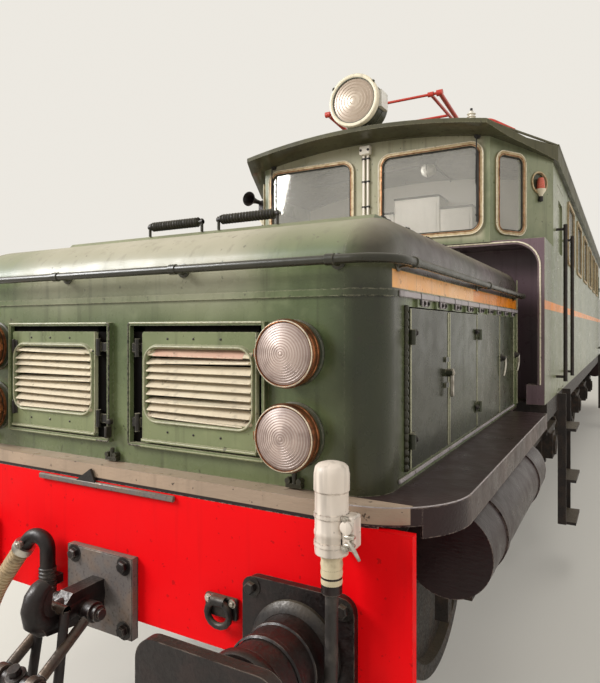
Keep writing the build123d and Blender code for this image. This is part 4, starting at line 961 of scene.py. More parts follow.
@dataclass
class Camera:
    """The photograph's viewpoint, solved from its vanishing points."""

    ahead: float = 1.82
    left: float = 1.99
    height: float = 2.18 + RAIL
    yaw: float = 29.13
    focal_px: float = 585.0
    width_px: float = 600.0
    horizon_px: float = 12.5
    beam_front: float = 8.6
    sensor: float = 36.0
    clip: Span = (0.05, 300.0)

    def make(self) -> None:
        """Create the camera and make it the scene's."""
        data = bpy.data.cameras.new("camera")
        data.sensor_fit = "HORIZONTAL"
        data.sensor_width = self.sensor
        data.lens = self.sensor * self.focal_px / self.width_px
        data.shift_y = -self.horizon_px / self.width_px
        data.clip_start, data.clip_end = self.clip
        camera = bpy.data.objects.new("camera", data)
        camera.location = (self.beam_front + self.ahead, self.left, self.height)
        camera.rotation_euler = (radians(90), 0, radians(90 + self.yaw))
        bpy.context.scene.collection.objects.link(camera)
        bpy.context.scene.camera = camera


@dataclass
class Assembly:
    """What every sub-assembly keeps: the end that it dresses and the finishes."""

    end: End
    finishes: Finishes

    def named(self, name: str) -> str:
        """The piece's name at this end."""
        return f"{name}_{self.end.tag}"

    @property
    def bogie(self) -> str:
        """The body that the hood, the walkway and the beam at this end ride on."""
        return f"bogie_{self.end.tag}"


@dataclass
class HosesAndLeads(Assembly):
    """The brake hose with its coupling head, and the jumper's lead that loops under the beam."""

    hose_dia: float = 0.072
    lead_dia: float = 0.044
    rib_pitch: float = 0.019
    hose_long: float = 0.68
    lead_long: float = 1.33
    hose_route: tuple[Point, ...] = (
        (8.69, -0.44, RAIL + 1.165), (8.705, -0.52, RAIL + 1.06), (8.725, -0.59, RAIL + 0.945),
        (8.74, -0.635, RAIL + 0.815), (8.748, -0.652, RAIL + 0.675), (8.75, -0.65, RAIL + 0.54),
    )
    lead_route: tuple[Point, ...] = (
        (8.7, 1.15, RAIL + 1.32), (8.7, 1.15, RAIL + 1.185), (8.708, 1.151, RAIL + 1.055),
        (8.709, 1.149, RAIL + 0.925), (8.705, 1.147, RAIL + 0.79), (8.678, 1.142, RAIL + 0.69),
        (8.605, 1.135, RAIL + 0.617), (8.505, 1.128, RAIL + 0.59), (8.405, 1.121, RAIL + 0.617),
        (8.332, 1.114, RAIL + 0.69), (8.305, 1.111, RAIL + 0.79), (8.31, 1.11, RAIL + 0.885),
        (8.31, 1.11, RAIL + 0.98),
    )

    def build(self) -> None:
        """Make both cords and the pieces on them."""
        f = self.finishes
        hose = self.run("brake_hose", self.hose_route, self.hose_dia, f.hose)
        line = self.line(hose)
        ribs = MeshWork()
        gone = 0.0
        for before, after in zip(line, line[1:]):
            gone += (after - before).length
            if gone >= self.rib_pitch:
                gone -= self.rib_pitch
                r = self.hose_dia / 2
                bead = [(-0.0062, r - 0.0008), (-0.003, r + 0.0048), (0.003, r + 0.0048), (0.0062, r - 0.0008)]
                ribs.lathe(bead, tuple(after), tuple(after - before), 28)
        rib_piece = ribs.make(self.named("brake_hose_ribs"), [f.hose], self.bogie, "hose_rubber")
        head = self.coupling(self.hose_route[-1])
        lead = self.run("jumper_lead", self.lead_route, self.lead_dia, f.rubber)
        for piece in (hose, lead):
            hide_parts(self.named("hoses"))

    def turned(self, point: Point) -> Point:
        """A point of end A at this end."""
        return (point[0] * self.end.value, point[1] * self.end.value, point[2])

    def run(self, name: str, route: Sequence[Point], diameter: float, finish: Material) -> bpy.types.Object:
        """Make a round cord along its route.

        Args:
            name: the cord's name.
            route: the points that steer it.
            diameter: its diameter.
            finish: its material.

        Returns:
            The curve object.
        """
        curve = bpy.data.curves.new(self.named(name), "CURVE")
        curve.dimensions = "3D"
        curve.resolution_u = 16
        curve.bevel_depth = diameter / 2
        curve.bevel_resolution = 6
        curve.use_fill_caps = True
        spline = curve.splines.new("NURBS")
        spline.points.add(len(route) - 1)
        for point, place in zip(spline.points, route):
            point.co = (*self.turned(place), 1.0)
        spline.order_u = 3
        spline.use_endpoint_u = True
        curve.materials.append(finish)
        obj = bpy.data.objects.new(self.named(name), curve)
        bpy.context.scene.collection.objects.link(obj)
        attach(obj, self.bogie)
        return obj

    def line(self, cord: bpy.types.Object) -> list[Vector]:
        """The points of a cord's own smooth line.

        Args:
            cord: the curve object.

        Returns:
            Its points from one end to the other.
        """
        bare = cord.data.copy()
        bare.bevel_depth = 0.0
        bare.resolution_u = 48
        stand = bpy.data.objects.new("line", bare)
        mesh = bpy.data.meshes.new_from_object(stand)
        points = [v.co.copy() for v in mesh.vertices]
        bpy.data.objects.remove(stand)
        bpy.data.meshes.remove(mesh)
        return points

    def coupling(self, at: Point) -> bpy.types.Object:
        """Make the brake hose's coupling head: a ferrule, a collar and a round face.

        Args:
            at: the hose's lower end.

        Returns:
            The piece.
        """
        work = MeshWork(self.end)
        body = [
            (-0.045, 0.0375), (-0.045, 0.0415), (-0.012, 0.0415), (-0.008, 0.0385), (0.0, 0.0385), (0.004, 0.043),
            (0.05, 0.043), (0.056, 0.047), (0.06, 0.052), (0.094, 0.053), (0.099, 0.049), (0.099, 0.03),
            (0.09, 0.027), (0.09, 0.0),
        ]
        work.lathe(body, at, (0, 0, -1), 36)
        work.block((at[0] - 0.012, at[1] + 0.035, at[2] - 0.085), (at[0] + 0.012, at[1] + 0.0525, at[2] - 0.03))
        work.bolt((at[0] + 0.04, at[1], at[2] + 0.03), AHEAD, 0.016)
        return work.make(self.named("brake_hose_head"), [self.finishes.black_iron], self.bogie, "hose_rubber")


@dataclass
class HoodLamps(Assembly):
    """The four lamps on the hood's face: a copper rim and a second ring round ribbed glass."""

    across: float = 0.9
    heights: Floats = (RAIL + 2.09, RAIL + 1.78)
    seat: float = 8.5
    glass: float = 0.113
    prisms: int = 12

    def build(self) -> None:
        """Make the rims, the glasses and their clamps."""
        work = MeshWork(self.end)
        for side in Side:
            for height in self.heights:
                self.lamp(work, (self.seat, side.value * self.across, height), side)
        f = self.finishes
        work.make(self.named("hood_lamps"), [f.copper, f.lens, f.lamp, f.rim], self.bogie, "lamp_metal")

    def lamp(self, work: MeshWork, seat: Point, side: Side) -> None:
        """Add one lamp.

        Args:
            work: the piece.
            seat: the middle of its back.
            side: the side it is on.
        """
        rim = [
            (0.06, 0.1185), (0.06, 0.1262), (0.064, 0.128), (0.078, 0.1285), (0.088, 0.1262), (0.0955, 0.1215),
            (0.097, 0.1175), (0.094, 0.115), (0.0865, 0.1138), (0.086, 0.106),
        ]
        work.lathe(rim, seat, AHEAD, 56)
        # A thin cream ring on the copper rim's lip is a painted highlight.
        work.lathe([(0.0945, 0.1165), (0.0978, 0.1195), (0.0945, 0.1225)], seat, AHEAD, 56, 3)
        back = [(0.002, 0.1195), (0.002, 0.1262), (0.01, 0.1262), (0.014, 0.121), (0.036, 0.1205)]
        band = [(0.036, 0.1195), (0.037, 0.124), (0.047, 0.124), (0.05, 0.1195)]
        work.lathe(back, seat, AHEAD, 48, 2)
        work.lathe(band, seat, AHEAD, 48)
        glass = []
        for i in range(self.prisms):
            for share, rise in ((i, 0.0), (i + 0.82, 0.0013)):
                radius = self.glass * (1 - share / self.prisms)
                dome = 0.0175 * (1 - (radius / self.glass) ** 2)
                glass.append((0.0925 + dome + rise, radius))
        glass.append((0.1125, 0.0))
        work.lathe(glass, seat, AHEAD, 56, 1)
        y = seat[1] - side.value * 0.128
        work.block((seat[0] + 0.062, y - 0.006, seat[2] - 0.016), (seat[0] + 0.086, y + 0.004, seat[2] + 0.016))
        work.tube([(seat[0] + 0.074, y, seat[2] - 0.022), (seat[0] + 0.074, y, seat[2] + 0.022)], 0.004)


# Each slat's turn about the louvre's normal, its tilt and its twist from end to end, in
# degrees, from the lowest slat up, on the left and the right panel.
SLATS = {
    Side.LEFT: (
        (-0.9, 30, 5), (-0.4, 42, -2), (0.5, 26, 6), (-0.2, 38, -3), (0.1, 40, 2), (-0.3, 36, -2), (0.2, 40, 3),
        (0.9, 24, -7), (-0.2, 46, 2),
    ),
    Side.RIGHT: (
        (0.3, 34, 2), (-0.1, 40, -2), (-0.5, 36, 4), (-0.2, 40, -2), (0.9, 24, 7), (0.2, 42, -2), (-0.7, 34, -5),
        (0.1, 38, 2), (-0.6, 28, 5),
    ),
}


@dataclass
class LouvrePanels(Assembly):
    """The two louvre panels in their recesses: bleached slats that are bent, no two alike,
    a pressed rim with a pale bead on its crest as painted highlight, rivets, folded edges, and near-black sheets in the
    gaps round the panels as painted shade."""

    centres: Floats = (0.439, -0.452)
    recess: float = 0.418
    recess_half: float = 0.346
    face: float = 8.518
    half: float = 0.3
    low: float = RAIL + 1.69
    high: float = RAIL + 2.168
    middle: float = RAIL + 1.9425
    opening: Span = (0.545, 0.305)
    corner: float = 0.06
    rivet: float = 0.0055
    slat_wide: float = 0.0215
    slat_thick: float = 0.0034
    gap_low: float = RAIL + 1.681
    gap_high: float = RAIL + 2.194

    def build(self) -> None:
        """Make the slats, rims, rivets and edges, and the beads round the recesses."""
        work = MeshWork(self.end)
        for y, side in zip(self.centres, Side):
            self.slats(work, y, side)
            # A near-black sheet behind the slats is painted shade inside the hood.
            work.block((8.462, y - 0.276, self.middle - 0.156), (8.466, y + 0.276, self.middle + 0.156), 0.0, 2)
            for across in (-0.155, -0.015, 0.125):
                work.rivet((self.face, y + across, self.high - 0.03), AHEAD, self.rivet, 1)
                work.rivet((self.face, y + across, self.low + 0.05), AHEAD, self.rivet, 1)
            for height in (self.high - 0.09, self.high - 0.3):
                work.rivet((self.face, y + self.half - 0.016, height), AHEAD, self.rivet, 1)
            # The pale bead on the rim's crest is a painted highlight.
            rim = rounded(self.opening[0] + 0.02, self.opening[1] + 0.02, self.corner + 0.01, 8)
            work.tube([(8.5262, y + u, self.middle + v) for u, v in rim], 0.0042, 8, 0, True)
            at = y + self.half
            work.block((8.501, at - 0.0045, self.low + 0.006), (8.5235, at + 0.0006, self.high - 0.004), 0.0012)
            foot, reach = self.low + 0.006, self.half - 0.004
            work.tube([(8.5205, y - self.half + 0.004, foot), (8.5205, y + reach, foot)], 0.0066, 8)
            self.gaps(work, y, side)
        f = self.finishes
        work.make(self.named("louvre_trim"), [f.edge, f.dark, f.soot, f.slat, f.pink], self.bogie, "green_enamel")
        self.surround()

    def slats(self, work: MeshWork, y: float, side: Side) -> None:
        """Add a panel's slats, each a thin plate bent and twisted along its length.

        Args:
            work: the piece.
            y: the panel's middle.
            side: which panel it is.
        """
        count = len(SLATS[side])
        pitch = self.opening[1] / count
        wide, thick = self.slat_wide, self.slat_thick
        outline = (
            (-wide, -thick), (wide - 0.002, -thick), (wide, -thick / 3), (wide, thick / 3), (wide - 0.002, thick),
            (-wide, thick),
        )
        for index, (turn, tilt, twist) in enumerate(SLATS[side]):
            off = (index + 0.5 - count / 2) * pitch
            into = max(0.0, abs(off) + 0.012 - self.opening[1] / 2 + self.corner)
            half = self.opening[0] / 2 - self.corner + sqrt(self.corner**2 - min(into, 0.056) ** 2) - 0.002
            placed = Matrix.Translation((8.509, y, self.middle + off))
            placed @= Matrix.Rotation(radians(turn), 4, "X") @ Matrix.Rotation(radians(tilt), 4, "Y")
            sections = []
            for step in range(15):
                share = step / 7 - 1
                turned = placed @ Matrix.Rotation(radians(twist * share**3), 4, "Y")
                sag = -0.00022 * twist * (1 - share * share)
                sections.append([turned @ Vector((u, share * half, v + sag)) for u, v in outline])
            pink = side is Side.LEFT and index == count - 1
            work.loft(sections, 4 if pink else 3)

    def gaps(self, work: MeshWork, y: float, side: Side) -> None:
        """Line the gaps round a panel with near-black sheets as painted shade, and add the hinge knuckles in the gap at
        its far edge.

        Args:
            work: the piece.
            y: the panel's middle.
            side: which panel it is.
        """
        left = side.value * self.recess - self.recess_half
        right = side.value * self.recess + self.recess_half
        low, high = self.gap_low, self.gap_high
        for start, finish in ((left + 0.001, y - self.half), (y + self.half + 0.001, right - 0.001)):
            work.block((8.5002, start, low), (8.5022, finish, high), 0.0, 2)
        work.block((8.5002, left + 0.001, self.high), (8.5022, right - 0.001, high), 0.0, 2)
        if side is Side.RIGHT:
            at = y - self.half + 0.012
            knuckle = [(0.0, 0.006), (0.004, 0.0095), (0.066, 0.0095), (0.07, 0.006)]
            for z in (self.low + 0.06, self.high - 0.11):
                work.lathe(knuckle, (8.5225, at, z), UP, 14, 1)
                work.block((8.5185, at - 0.01, z + 0.004), (8.5225, at + 0.026, z + 0.066), 0.002, 1)

    def surround(self) -> None:
        """Make the recess surround's bead, with a pale tube along its top edge as painted highlight, and the catch
        between the panels.
        """
        work = MeshWork(self.end)
        outline = rounded(self.recess_half * 2 + 0.022, 0.515 + 0.022, 0.012, 4)
        top = RAIL + 2.206
        for y in (self.recess, -self.recess):
            path = [(8.5245, y + u, RAIL + 1.9375 + v) for u, v in outline]
            work.tube(path, 0.0042, 8, 2, True)
            # The pale tube along the top edge is a painted highlight.
            work.tube([(8.5262, y - self.recess_half, top), (8.5262, y + self.recess_half, top)], 0.0046, 8)
        work.block((8.52, -0.058, RAIL + 1.69), (8.556, -0.042, RAIL + 1.742), 0.004, 1)
        knob = [(0, 0.014), (0.016, 0.014), (0.022, 0.009), (0.022, 0)]
        work.lathe(knob, (8.52, -0.05, RAIL + 1.76), AHEAD, 16, 1)
        f = self.finishes
        work.make(self.named("recess_bead"), [f.edge, f.dark, f.louvre], self.bogie, "green_enamel")


@dataclass
class HoodSide(Assembly):
    """The hood's sides: the hinge strip, its clips, post knuckles, latches and the door trims."""

    side: Side = Side.LEFT
    half: float = 1.242
    low: float = RAIL + 1.62
    high: float = RAIL + 2.268
    leaf: float = 0.008
    clips: int = 9
    clip_start: float = 5.86
    clip_pitch: float = 0.271
    rivets: Floats = (5.84, 6.1, 6.36, 6.62, 6.88, 7.1, 7.36, 7.62, 7.88, 8.14, 8.28)
    latches: Span = (6.36, 5.8)
    fore_leaf: Span = (7.63, 8.21)
    rear_leaf: Span = (7.015, 7.63)

    def at(self, x: float, out: float, z: float) -> Point:
        """A point so far out from the hood's side."""
        return (x, self.side.value * (self.half + out), z)

    def build(self) -> None:
        """Make the fixed trim and what rides on the door leaves."""
        f = self.finishes
        work = MeshWork(self.end)
        look = (0, self.side.value, 0)
        work.block(self.at(5.64, 0.0085, RAIL + 2.301), self.at(8.34, 0.0165, RAIL + 2.326), 0.003)
        for index in range(self.clips):
            x = self.clip_start + index * self.clip_pitch
            work.block(self.at(x - 0.045, 0.01, RAIL + 2.272), self.at(x + 0.045, 0.02, RAIL + 2.3), 0.003)
            work.block(self.at(x + 0.052, 0.006, RAIL + 2.276), self.at(x + 0.064, 0.0175, RAIL + 2.328), 0.003, 1)
            work.bolt(self.at(x - 0.026, 0.02, RAIL + 2.286), look, 0.012, 1)
            work.bolt(self.at(x + 0.026, 0.02, RAIL + 2.286), look, 0.012, 1)
        work.block(self.at(5.76, 0.0, RAIL + 1.597), self.at(8.32, 0.01, RAIL + 1.613), 0.002)
        work.block(self.at(5.603, 0.0, RAIL + 1.6), self.at(5.617, 0.009, RAIL + 2.56), 0.002, 2)
        for x in self.rivets:
            work.rivet(self.at(x, 0.01, RAIL + 1.605), look, 0.005)
        knuckle = []
        for index in range(22):
            z = self.low + 0.008 + index * 0.0295
            knuckle += [(z, 0.0085), (z + 0.004, 0.0115), (z + 0.021, 0.0115), (z + 0.025, 0.0085)]
        work.lathe(knuckle, self.at(8.2435, 0.004, 0), UP, 12, 4)
        for x in self.latches:
            self.latch(work, x - 0.06, 0.0082, RAIL + 1.985)
            work.block(self.at(x - 0.02, 0.0075, self.low), self.at(x - 0.006, 0.0105, self.high), 0.001, 2)
        work.make(
            self.named(f"hood_side_{self.side.tag}"), [f.clip, f.dark, f.edge, f.steel, f.rail],
            self.bogie, "green_enamel",
        )
        self.leaf_trim("front", *self.fore_leaf, 1)
        self.leaf_trim("rear", *self.rear_leaf, -1)

    def latch(self, work: MeshWork, x: float, out: float, z: float) -> None:
        """Add a turn-lever latch: boss, spindle and a bent lever rubbed bright.

        Args:
            work: the piece.
            x: where the spindle is.
            out: how far out its seat is.
            z: the spindle's height.
        """
        look = (0, self.side.value, 0)
        boss = [(0, 0.026), (0.006, 0.026), (0.01, 0.019), (0.024, 0.017), (0.034, 0.013), (0.034, 0)]
        work.lathe(boss, self.at(x, out, z), look, 24, 1)
        lever = [
            self.at(x, out + 0.029, z), self.at(x + 0.004, out + 0.031, z - 0.045),
            self.at(x + 0.01, out + 0.027, z - 0.085), self.at(x + 0.012, out + 0.02, z - 0.118),
        ]
        work.tube(lever, 0.0085, 10, 3)

    def leaf_trim(self, leaf: str, rear: float, front: float, hinged: int) -> None:
        """Make a door leaf's worn edge strips, its strap bolts and its latch handle.

        Args:
            leaf: the leaf's name.
            rear: its lower X.
            front: its higher X.
            hinged: 1 where the hinge is at its front, -1 at its rear.
        """
        f = self.finishes
        work = MeshWork(self.end)
        look = (0, self.side.value, 0)
        out = self.leaf
        low, high = self.low + 0.01, self.high - 0.01
        free = rear + 0.008 if hinged > 0 else front - 0.02
        held = front - 0.018 if hinged > 0 else rear + 0.008
        for start, wide, thick in ((free, 0.012, 0.0025), (held, 0.01, 0.0022)):
            work.block(self.at(start, out - 0.001, low), self.at(start + wide, out + thick, high), 0.001)
        strap = held - 0.05 if hinged > 0 else held + 0.012
        for z in (self.low + 0.09, self.high - 0.133):
            for across in (0.012, 0.04):
                work.bolt(self.at(strap + across, out + 0.008, z + 0.03), look, 0.015, 1)
        if hinged > 0:
            x, z = rear + 0.048, (self.low + self.high) / 2 + 0.03
            foot, head = self.at(x - 0.0135, out + 0.0205, z - 0.112), self.at(x + 0.0135, out + 0.0358, z + 0.0215)
            work.block(foot, head, 0.005, 2)
            cap = [(0.034, 0.013), (0.0375, 0.012), (0.041, 0.007), (0.041, 0)]
            work.lathe(cap, self.at(x, out, z), look, 16, 2)
        work.make(
            self.named(f"hood_leaf_trim_{self.side.tag}_{leaf}"), [f.edge, f.dark, f.steel],
            f"hood_door_{self.side.tag}_{leaf}_{self.end.tag}", "green_enamel",
        )


@dataclass
class HoodTop(Assembly):
    """What stands on the hood: handrail brackets, hatch springs and hatch clamps."""

    hatch_top: float = RAIL + 2.7
    rail_z: float = RAIL + 2.425
    off: float = 0.068
    coil: float = 0.022
    spans: tuple[Span, ...] = ((0.148, 0.464), (-0.331, -0.007))
    spring_x: float = 7.95
    coil_pitch: float = 0.018
    clamps: int = 6

    def build(self) -> None:
        """Make the brackets, springs and clamps."""
        f = self.finishes
        work = MeshWork(self.end)
        for y in (-1.08, -0.36, 0.36, 1.08):
            self.bracket(work, (8.5, y, self.rail_z), AHEAD)
        for side in Side:
            for x in (5.76, 7.0, 8.33):
                self.bracket(work, (x, side.value * 1.242, self.rail_z), (0, side.value, 0))
        work.make(self.named("handrail_brackets"), [f.rail], self.bogie, "fittings_metal")
        work = MeshWork(self.end)
        x, z = self.spring_x, self.hatch_top + 0.052
        for low, high in self.spans:
            turns = (high - low) / self.coil_pitch
            work.tube(helix((x, low, z), (x, high, z), self.coil, turns), 0.0046, 7)
            for y in (low - 0.022, high + 0.022):
                work.lathe([(-0.008, 0.013), (0.008, 0.013), (0.008, 0.0)], (x, y, z), ACROSS, 12)
        for side in Side:
            for index in range(self.clamps):
                self.clamp(work, 5.95 + index * 0.36, side)
        work.make(self.named("hatch_gear"), [f.dark], self.bogie, "fittings_metal")

    def bracket(self, work: MeshWork, seat: Point, look: Point) -> None:
        """Add a handrail bracket: a flanged foot, a swelling stem and a collar on the rail.

        Args:
            work: the piece.
            seat: where the foot stands.
            look: the way the stem goes.
        """
        stem = [
            (0.0005, 0.03), (0.006, 0.03), (0.009, 0.019), (0.022, 0.0142), (0.04, 0.0142), (0.05, 0.0195),
            (0.058, 0.0205), (0.068, 0.0175),
        ]
        work.lathe(stem, seat, look, 20)
        middle = tuple(Vector(seat) + Vector(look) * self.off)
        along = ACROSS if look[0] else AHEAD
        work.lathe([(-0.019, 0.0172), (-0.016, 0.0215), (0.016, 0.0215), (0.019, 0.0172)], middle, along, 24)

    def clamp(self, work: MeshWork, x: float, side: Side) -> None:
        """Add a wing-nut clamp at the hatch's side edge.

        Args:
            work: the piece.
            x: where it is along the hood.
            side: the side of the hatch.
        """
        y = side.value * 0.965
        z = self.hatch_top
        work.block((x - 0.03, y - 0.028, z), (x + 0.03, y + 0.03, z + 0.008), 0.002)
        nut = [(0.007, 0.016), (0.014, 0.016), (0.018, 0.01), (0.024, 0.01), (0.024, 0)]
        work.lathe(nut, (x, y, z), UP, 14)
        wings = [(x - 0.026, y, z + 0.021), (x, y, z + 0.018), (x + 0.026, y, z + 0.021)]
        work.tube(wings, [0.006, 0.004, 0.006], 8)


@dataclass
class BeamAndBuffers(Assembly):
    """The buffers' fastenings, the shackles beside them, and the wedge and bar under the walkway."""

    face: float = 8.6
    across: float = 0.975
    height: float = RAIL + 1.05
    flange: float = 0.185
    circle: float = 0.122
    shackles: Span = (0.64, -1.3)

    def build(self) -> None:
        """Make the bolts, rings, shackles, wedge and flat bar."""
        f = self.finishes
        work = MeshWork(self.end)
        for side in Side:
            y = side.value * self.across
            for across in (-self.flange, self.flange):
                for up in (-self.flange, self.flange):
                    work.bolt((self.face + 0.032, y + across, self.height + up), AHEAD, 0.04, 1)
            seat = (self.face, y, self.height)
            work.lathe([(0.032, 0.176), (0.046, 0.176), (0.06, 0.16), (0.066, 0.141)], seat, AHEAD, 48, 1)
            for along in (0.12, 0.215):
                band = [(along, 0.137), (along + 0.005, 0.1425), (along + 0.02, 0.1425), (along + 0.025, 0.136)]
                work.lathe(band, seat, AHEAD, 48)
            work.lathe([(0.332, 0.1485), (0.336, 0.1515), (0.366, 0.1515), (0.3725, 0.1475)], seat, AHEAD, 48)
            for index in range(8):
                angle = pi * (index + 0.5) / 4
                spot = (self.face + 0.372, y + self.circle * cos(angle), self.height + self.circle * sin(angle))
                work.bolt(spot, AHEAD, 0.018, 1)
        z = self.height + 0.06
        for y in self.shackles:
            ring = []
            for step in range(14):
                angle = step / 7 * pi
                ring.append((8.634, y + 0.052 * cos(angle), z - 0.01 - 0.046 * sin(angle)))
            work.tube(ring, 0.0135, 10, 1, True)
            work.block((8.6, y - 0.075, z - 0.03), (8.622, y + 0.075, z + 0.052), 0.006, 1)
            work.lathe([(-0.03, 0.02), (0.03, 0.02)], (8.63, y, z + 0.036), ACROSS, 16, 1)
            for across in (-0.055, 0.055):
                work.bolt((8.622, y + across, z + 0.035), AHEAD, 0.018, 2)
        wedge = facing((8.604, -0.107, RAIL + 1.5), ACROSS, UP)
        work.prism([(-0.075, -0.006), (0.07, -0.02), (0.03, 0.062)], wedge, 0.012, 1)
        work.block((8.6, -0.42, RAIL + 1.482), (8.618, 0.4, RAIL + 1.506), 0.004, 3)
        work.make(
            self.named("beam_fastenings"), [f.black_iron, f.dark, f.steel, f.hook_iron],
            self.bogie, "buffer_iron",
        )


@dataclass
class WalkwayCorner(Assembly):
    """The walkway's deep rim where it turns the front corners, with a pale line along its top edge as painted
    highlight.
    """

    centre: Span = (8.25, 1.15)
    radius: float = 0.35
    thick: float = 0.016
    top: float = RAIL + 1.5795
    beam_half: float = 1.392
    side_deep: float = 0.1045
    front_deep: float = 0.062

    def build(self) -> None:
        """Make the rim round both corners, deep beside the beam and shallow in front of it."""
        work = MeshWork(self.end)
        turn = degrees(asin((self.beam_half - self.centre[1]) / self.radius))
        for side in Side:
            for start, finish, deep in ((turn, 90.0, self.side_deep), (0.0, turn, self.front_deep)):
                foot = self.top - deep
                outline = ((0.001, self.top), (0.001, foot), (-self.thick, foot), (-self.thick, self.top))
                sections = []
                for step in range(17):
                    angle = radians(start + (finish - start) * step / 16)
                    ring = []
                    for out, z in outline:
                        reach = self.radius + out
                        x = self.centre[0] + reach * cos(angle)
                        ring.append((x, side.value * (self.centre[1] + reach * sin(angle)), z))
                    sections.append(ring)
                work.loft(sections)
            # The pale line along the rim's top edge is a painted highlight.
            path = []
            for step in range(21):
                angle = radians(90 * step / 20)
                x = self.centre[0] + (self.radius - 0.002) * cos(angle)
                y = side.value * (self.centre[1] + (self.radius - 0.002) * sin(angle))
                path.append((x, y, self.top + 0.0005))
            path.append((6.1, side.value * 1.498, self.top + 0.0005))
            work.tube(path, 0.003, 6, 1)
        f = self.finishes
        work.make(self.named("walkway_corner"), [f.deck, f.clip], self.bogie, "deck_iron")


@dataclass
class ScrewCoupling(Assembly):
    """The draw hook and its plate, the screw coupling's rubbed links, threaded spindle and nuts,
    and the ribs and clamp of the brake pipe beside it."""

    hook_z: float = RAIL + 1.05
    face: float = 8.636
    # X and Z of the hook's pin, the upper and lower nut, and the bow in the hook.
    pin: Span = (8.75, RAIL + 1.03)
    nut: Span = (9.02, RAIL + 0.86)
    low: Span = (8.935, RAIL + 0.595)
    bow: Span = (8.863, RAIL + 1.074)

    def build(self) -> None:
        """Make the links, collars, thread, nuts, hook, plate and pipe."""
        f = self.finishes
        work = MeshWork(self.end)
        pin, nut, low, bow = self.pin, self.nut, self.low, self.bow
        for side in Side:
            upper = (pin[0] + 0.035, side.value * 0.0885, pin[1] - 0.022)
            lower = (nut[0] - 0.035, side.value * 0.0915, nut[1] + 0.022)
            work.tube([upper, lower], 0.0212, 14, 1)
            for place, half, radius in ((pin, 0.125, 0.022), (nut, 0.12, 0.02), (low, 0.11, 0.02)):
                seat = (place[0], side.value * half, place[1])
                collar = [(-0.004, 0.0325), (0.006, 0.0325), (0.01, radius), (0.022, radius), (0.024, 0.0)]
                work.lathe(collar, seat, (0, side.value, 0), 24)
            for place, half, thick, inner, outer, mark in (
                (pin, 0.088, 0.022, 0.032, 0.041, 0), (nut, 0.092, 0.02, 0.03, 0.04, 1),
                (low, 0.084, 0.02, 0.03, 0.039, 0),
            ):
                eye = [(-thick, inner), (0.002 - thick, outer), (thick - 0.002, outer), (thick, inner)]
                work.lathe(eye, (place[0], side.value * half, place[1]), ACROSS, 28, mark)
        axis = (Vector((nut[0], 0, nut[1])) - Vector((low[0], 0, low[1]))).normalized()
        top = Vector((nut[0], 0, nut[1])) - axis * 0.03
        foot = Vector((low[0], 0, low[1])) + axis * 0.03
        work.tube(helix(tuple(foot), tuple(top), 0.0232, (top - foot).length / 0.012, 10), 0.0036, 6, 1)
        trunnion = [(-0.034, 0.024), (-0.032, 0.038), (0.032, 0.038), (0.034, 0.024)]
        for place in (nut, low):
            work.lathe(trunnion, (place[0], 0, place[1]), tuple(axis), 28)
        weight = [(0, 0.012), (0.004, 0.0355), (0.05, 0.0355), (0.06, 0.024), (0.06, 0)]
        work.lathe(weight, (8.9885, 0.165, self.hook_z - 0.3595), (0, 0.99, -0.13), 24)
        for y in (-0.15, 0.15):
            for z in (self.hook_z - 0.135, self.hook_z + 0.135):
                work.bolt((self.face, y, z), AHEAD, 0.042)
        work.tube([(bow[0], -0.078, bow[1]), (bow[0], 0.078, bow[1])], 0.0198, 14, 1)
        self.hook(work)
        work.make(self.named("screw_coupling"), [f.black_iron, f.link], self.bogie, "buffer_iron")
        plate = MeshWork(self.end)
        plate.block((8.6005, -0.1965, self.hook_z - 0.1715), (8.6372, 0.1965, RAIL + 1.2215), 0.005)
        plate.make(self.named("hook_plate"), [f.hook_iron], self.bogie, "buffer_iron")
        pipe = MeshWork(self.end)
        ribs = [(-0.002, 0.042), (0.012, 0.04)]
        for index in range(13):
            z = 0.018 + index * 0.0165
            ribs += [(z, 0.0345), (z + 0.004, 0.0385), (z + 0.009, 0.0385), (z + 0.013, 0.0345)]
        pipe.lathe(ribs, (8.668, -0.29, RAIL + 0.88), UP, 28)
        start, after = (Vector(point) for point in HosesAndLeads.hose_route[:2])
        way = (after - start).normalized()
        seat = start - way * 0.03
        clamp = [(-0.004, 0.034), (-0.004, 0.047), (0.002, 0.0485), (0.026, 0.0485), (0.032, 0.047), (0.032, 0.034)]
        pipe.lathe(clamp, tuple(seat), tuple(way), 32, 1)
        lug = seat + way * 0.013
        head = (lug.x + 0.052, lug.y + 0.046, lug.z + 0.044)
        pipe.block((lug.x + 0.03, lug.y + 0.02, lug.z + 0.018), head, 0.005, 1)
        pipe.bolt((lug.x + 0.052, lug.y + 0.033, lug.z + 0.031), AHEAD, 0.02, 1)
        pipe.make(self.named("brake_pipe_trim"), [f.black_iron, f.steel], self.bogie, "hose_rubber")

    def hook(self, work: MeshWork) -> None:
        """Add the draw hook's forged round form and its rubbed throat.

        Args:
            work: the piece.
        """
        spine = (
            (8.625, 0.0, 0.062), (8.7, -0.004, 0.064), (8.79, -0.012, 0.06), (8.86, -0.02, 0.056),
            (8.915, -0.018, 0.052), (8.948, 0.012, 0.049), (8.958, 0.052, 0.045), (8.948, 0.092, 0.04),
            (8.926, 0.118, 0.034), (8.905, 0.128, 0.026),
        )
        sections = []
        for index, (x, up, half) in enumerate(spine):
            after, before = spine[min(index + 1, len(spine) - 1)], spine[max(index - 1, 0)]
            way = Vector((after[0] - before[0], 0, after[1] - before[1])).normalized()
            normal = Vector((-way.z, 0, way.x))
            ring = []
            for step in range(16):
                angle = pi * step / 8
                flat = Vector((0, 0.041 * cos(angle), 0)) + normal * half * sin(angle)
                ring.append(Vector((x, 0, self.hook_z + up)) + flat)
            sections.append(ring)
        work.loft(sections)


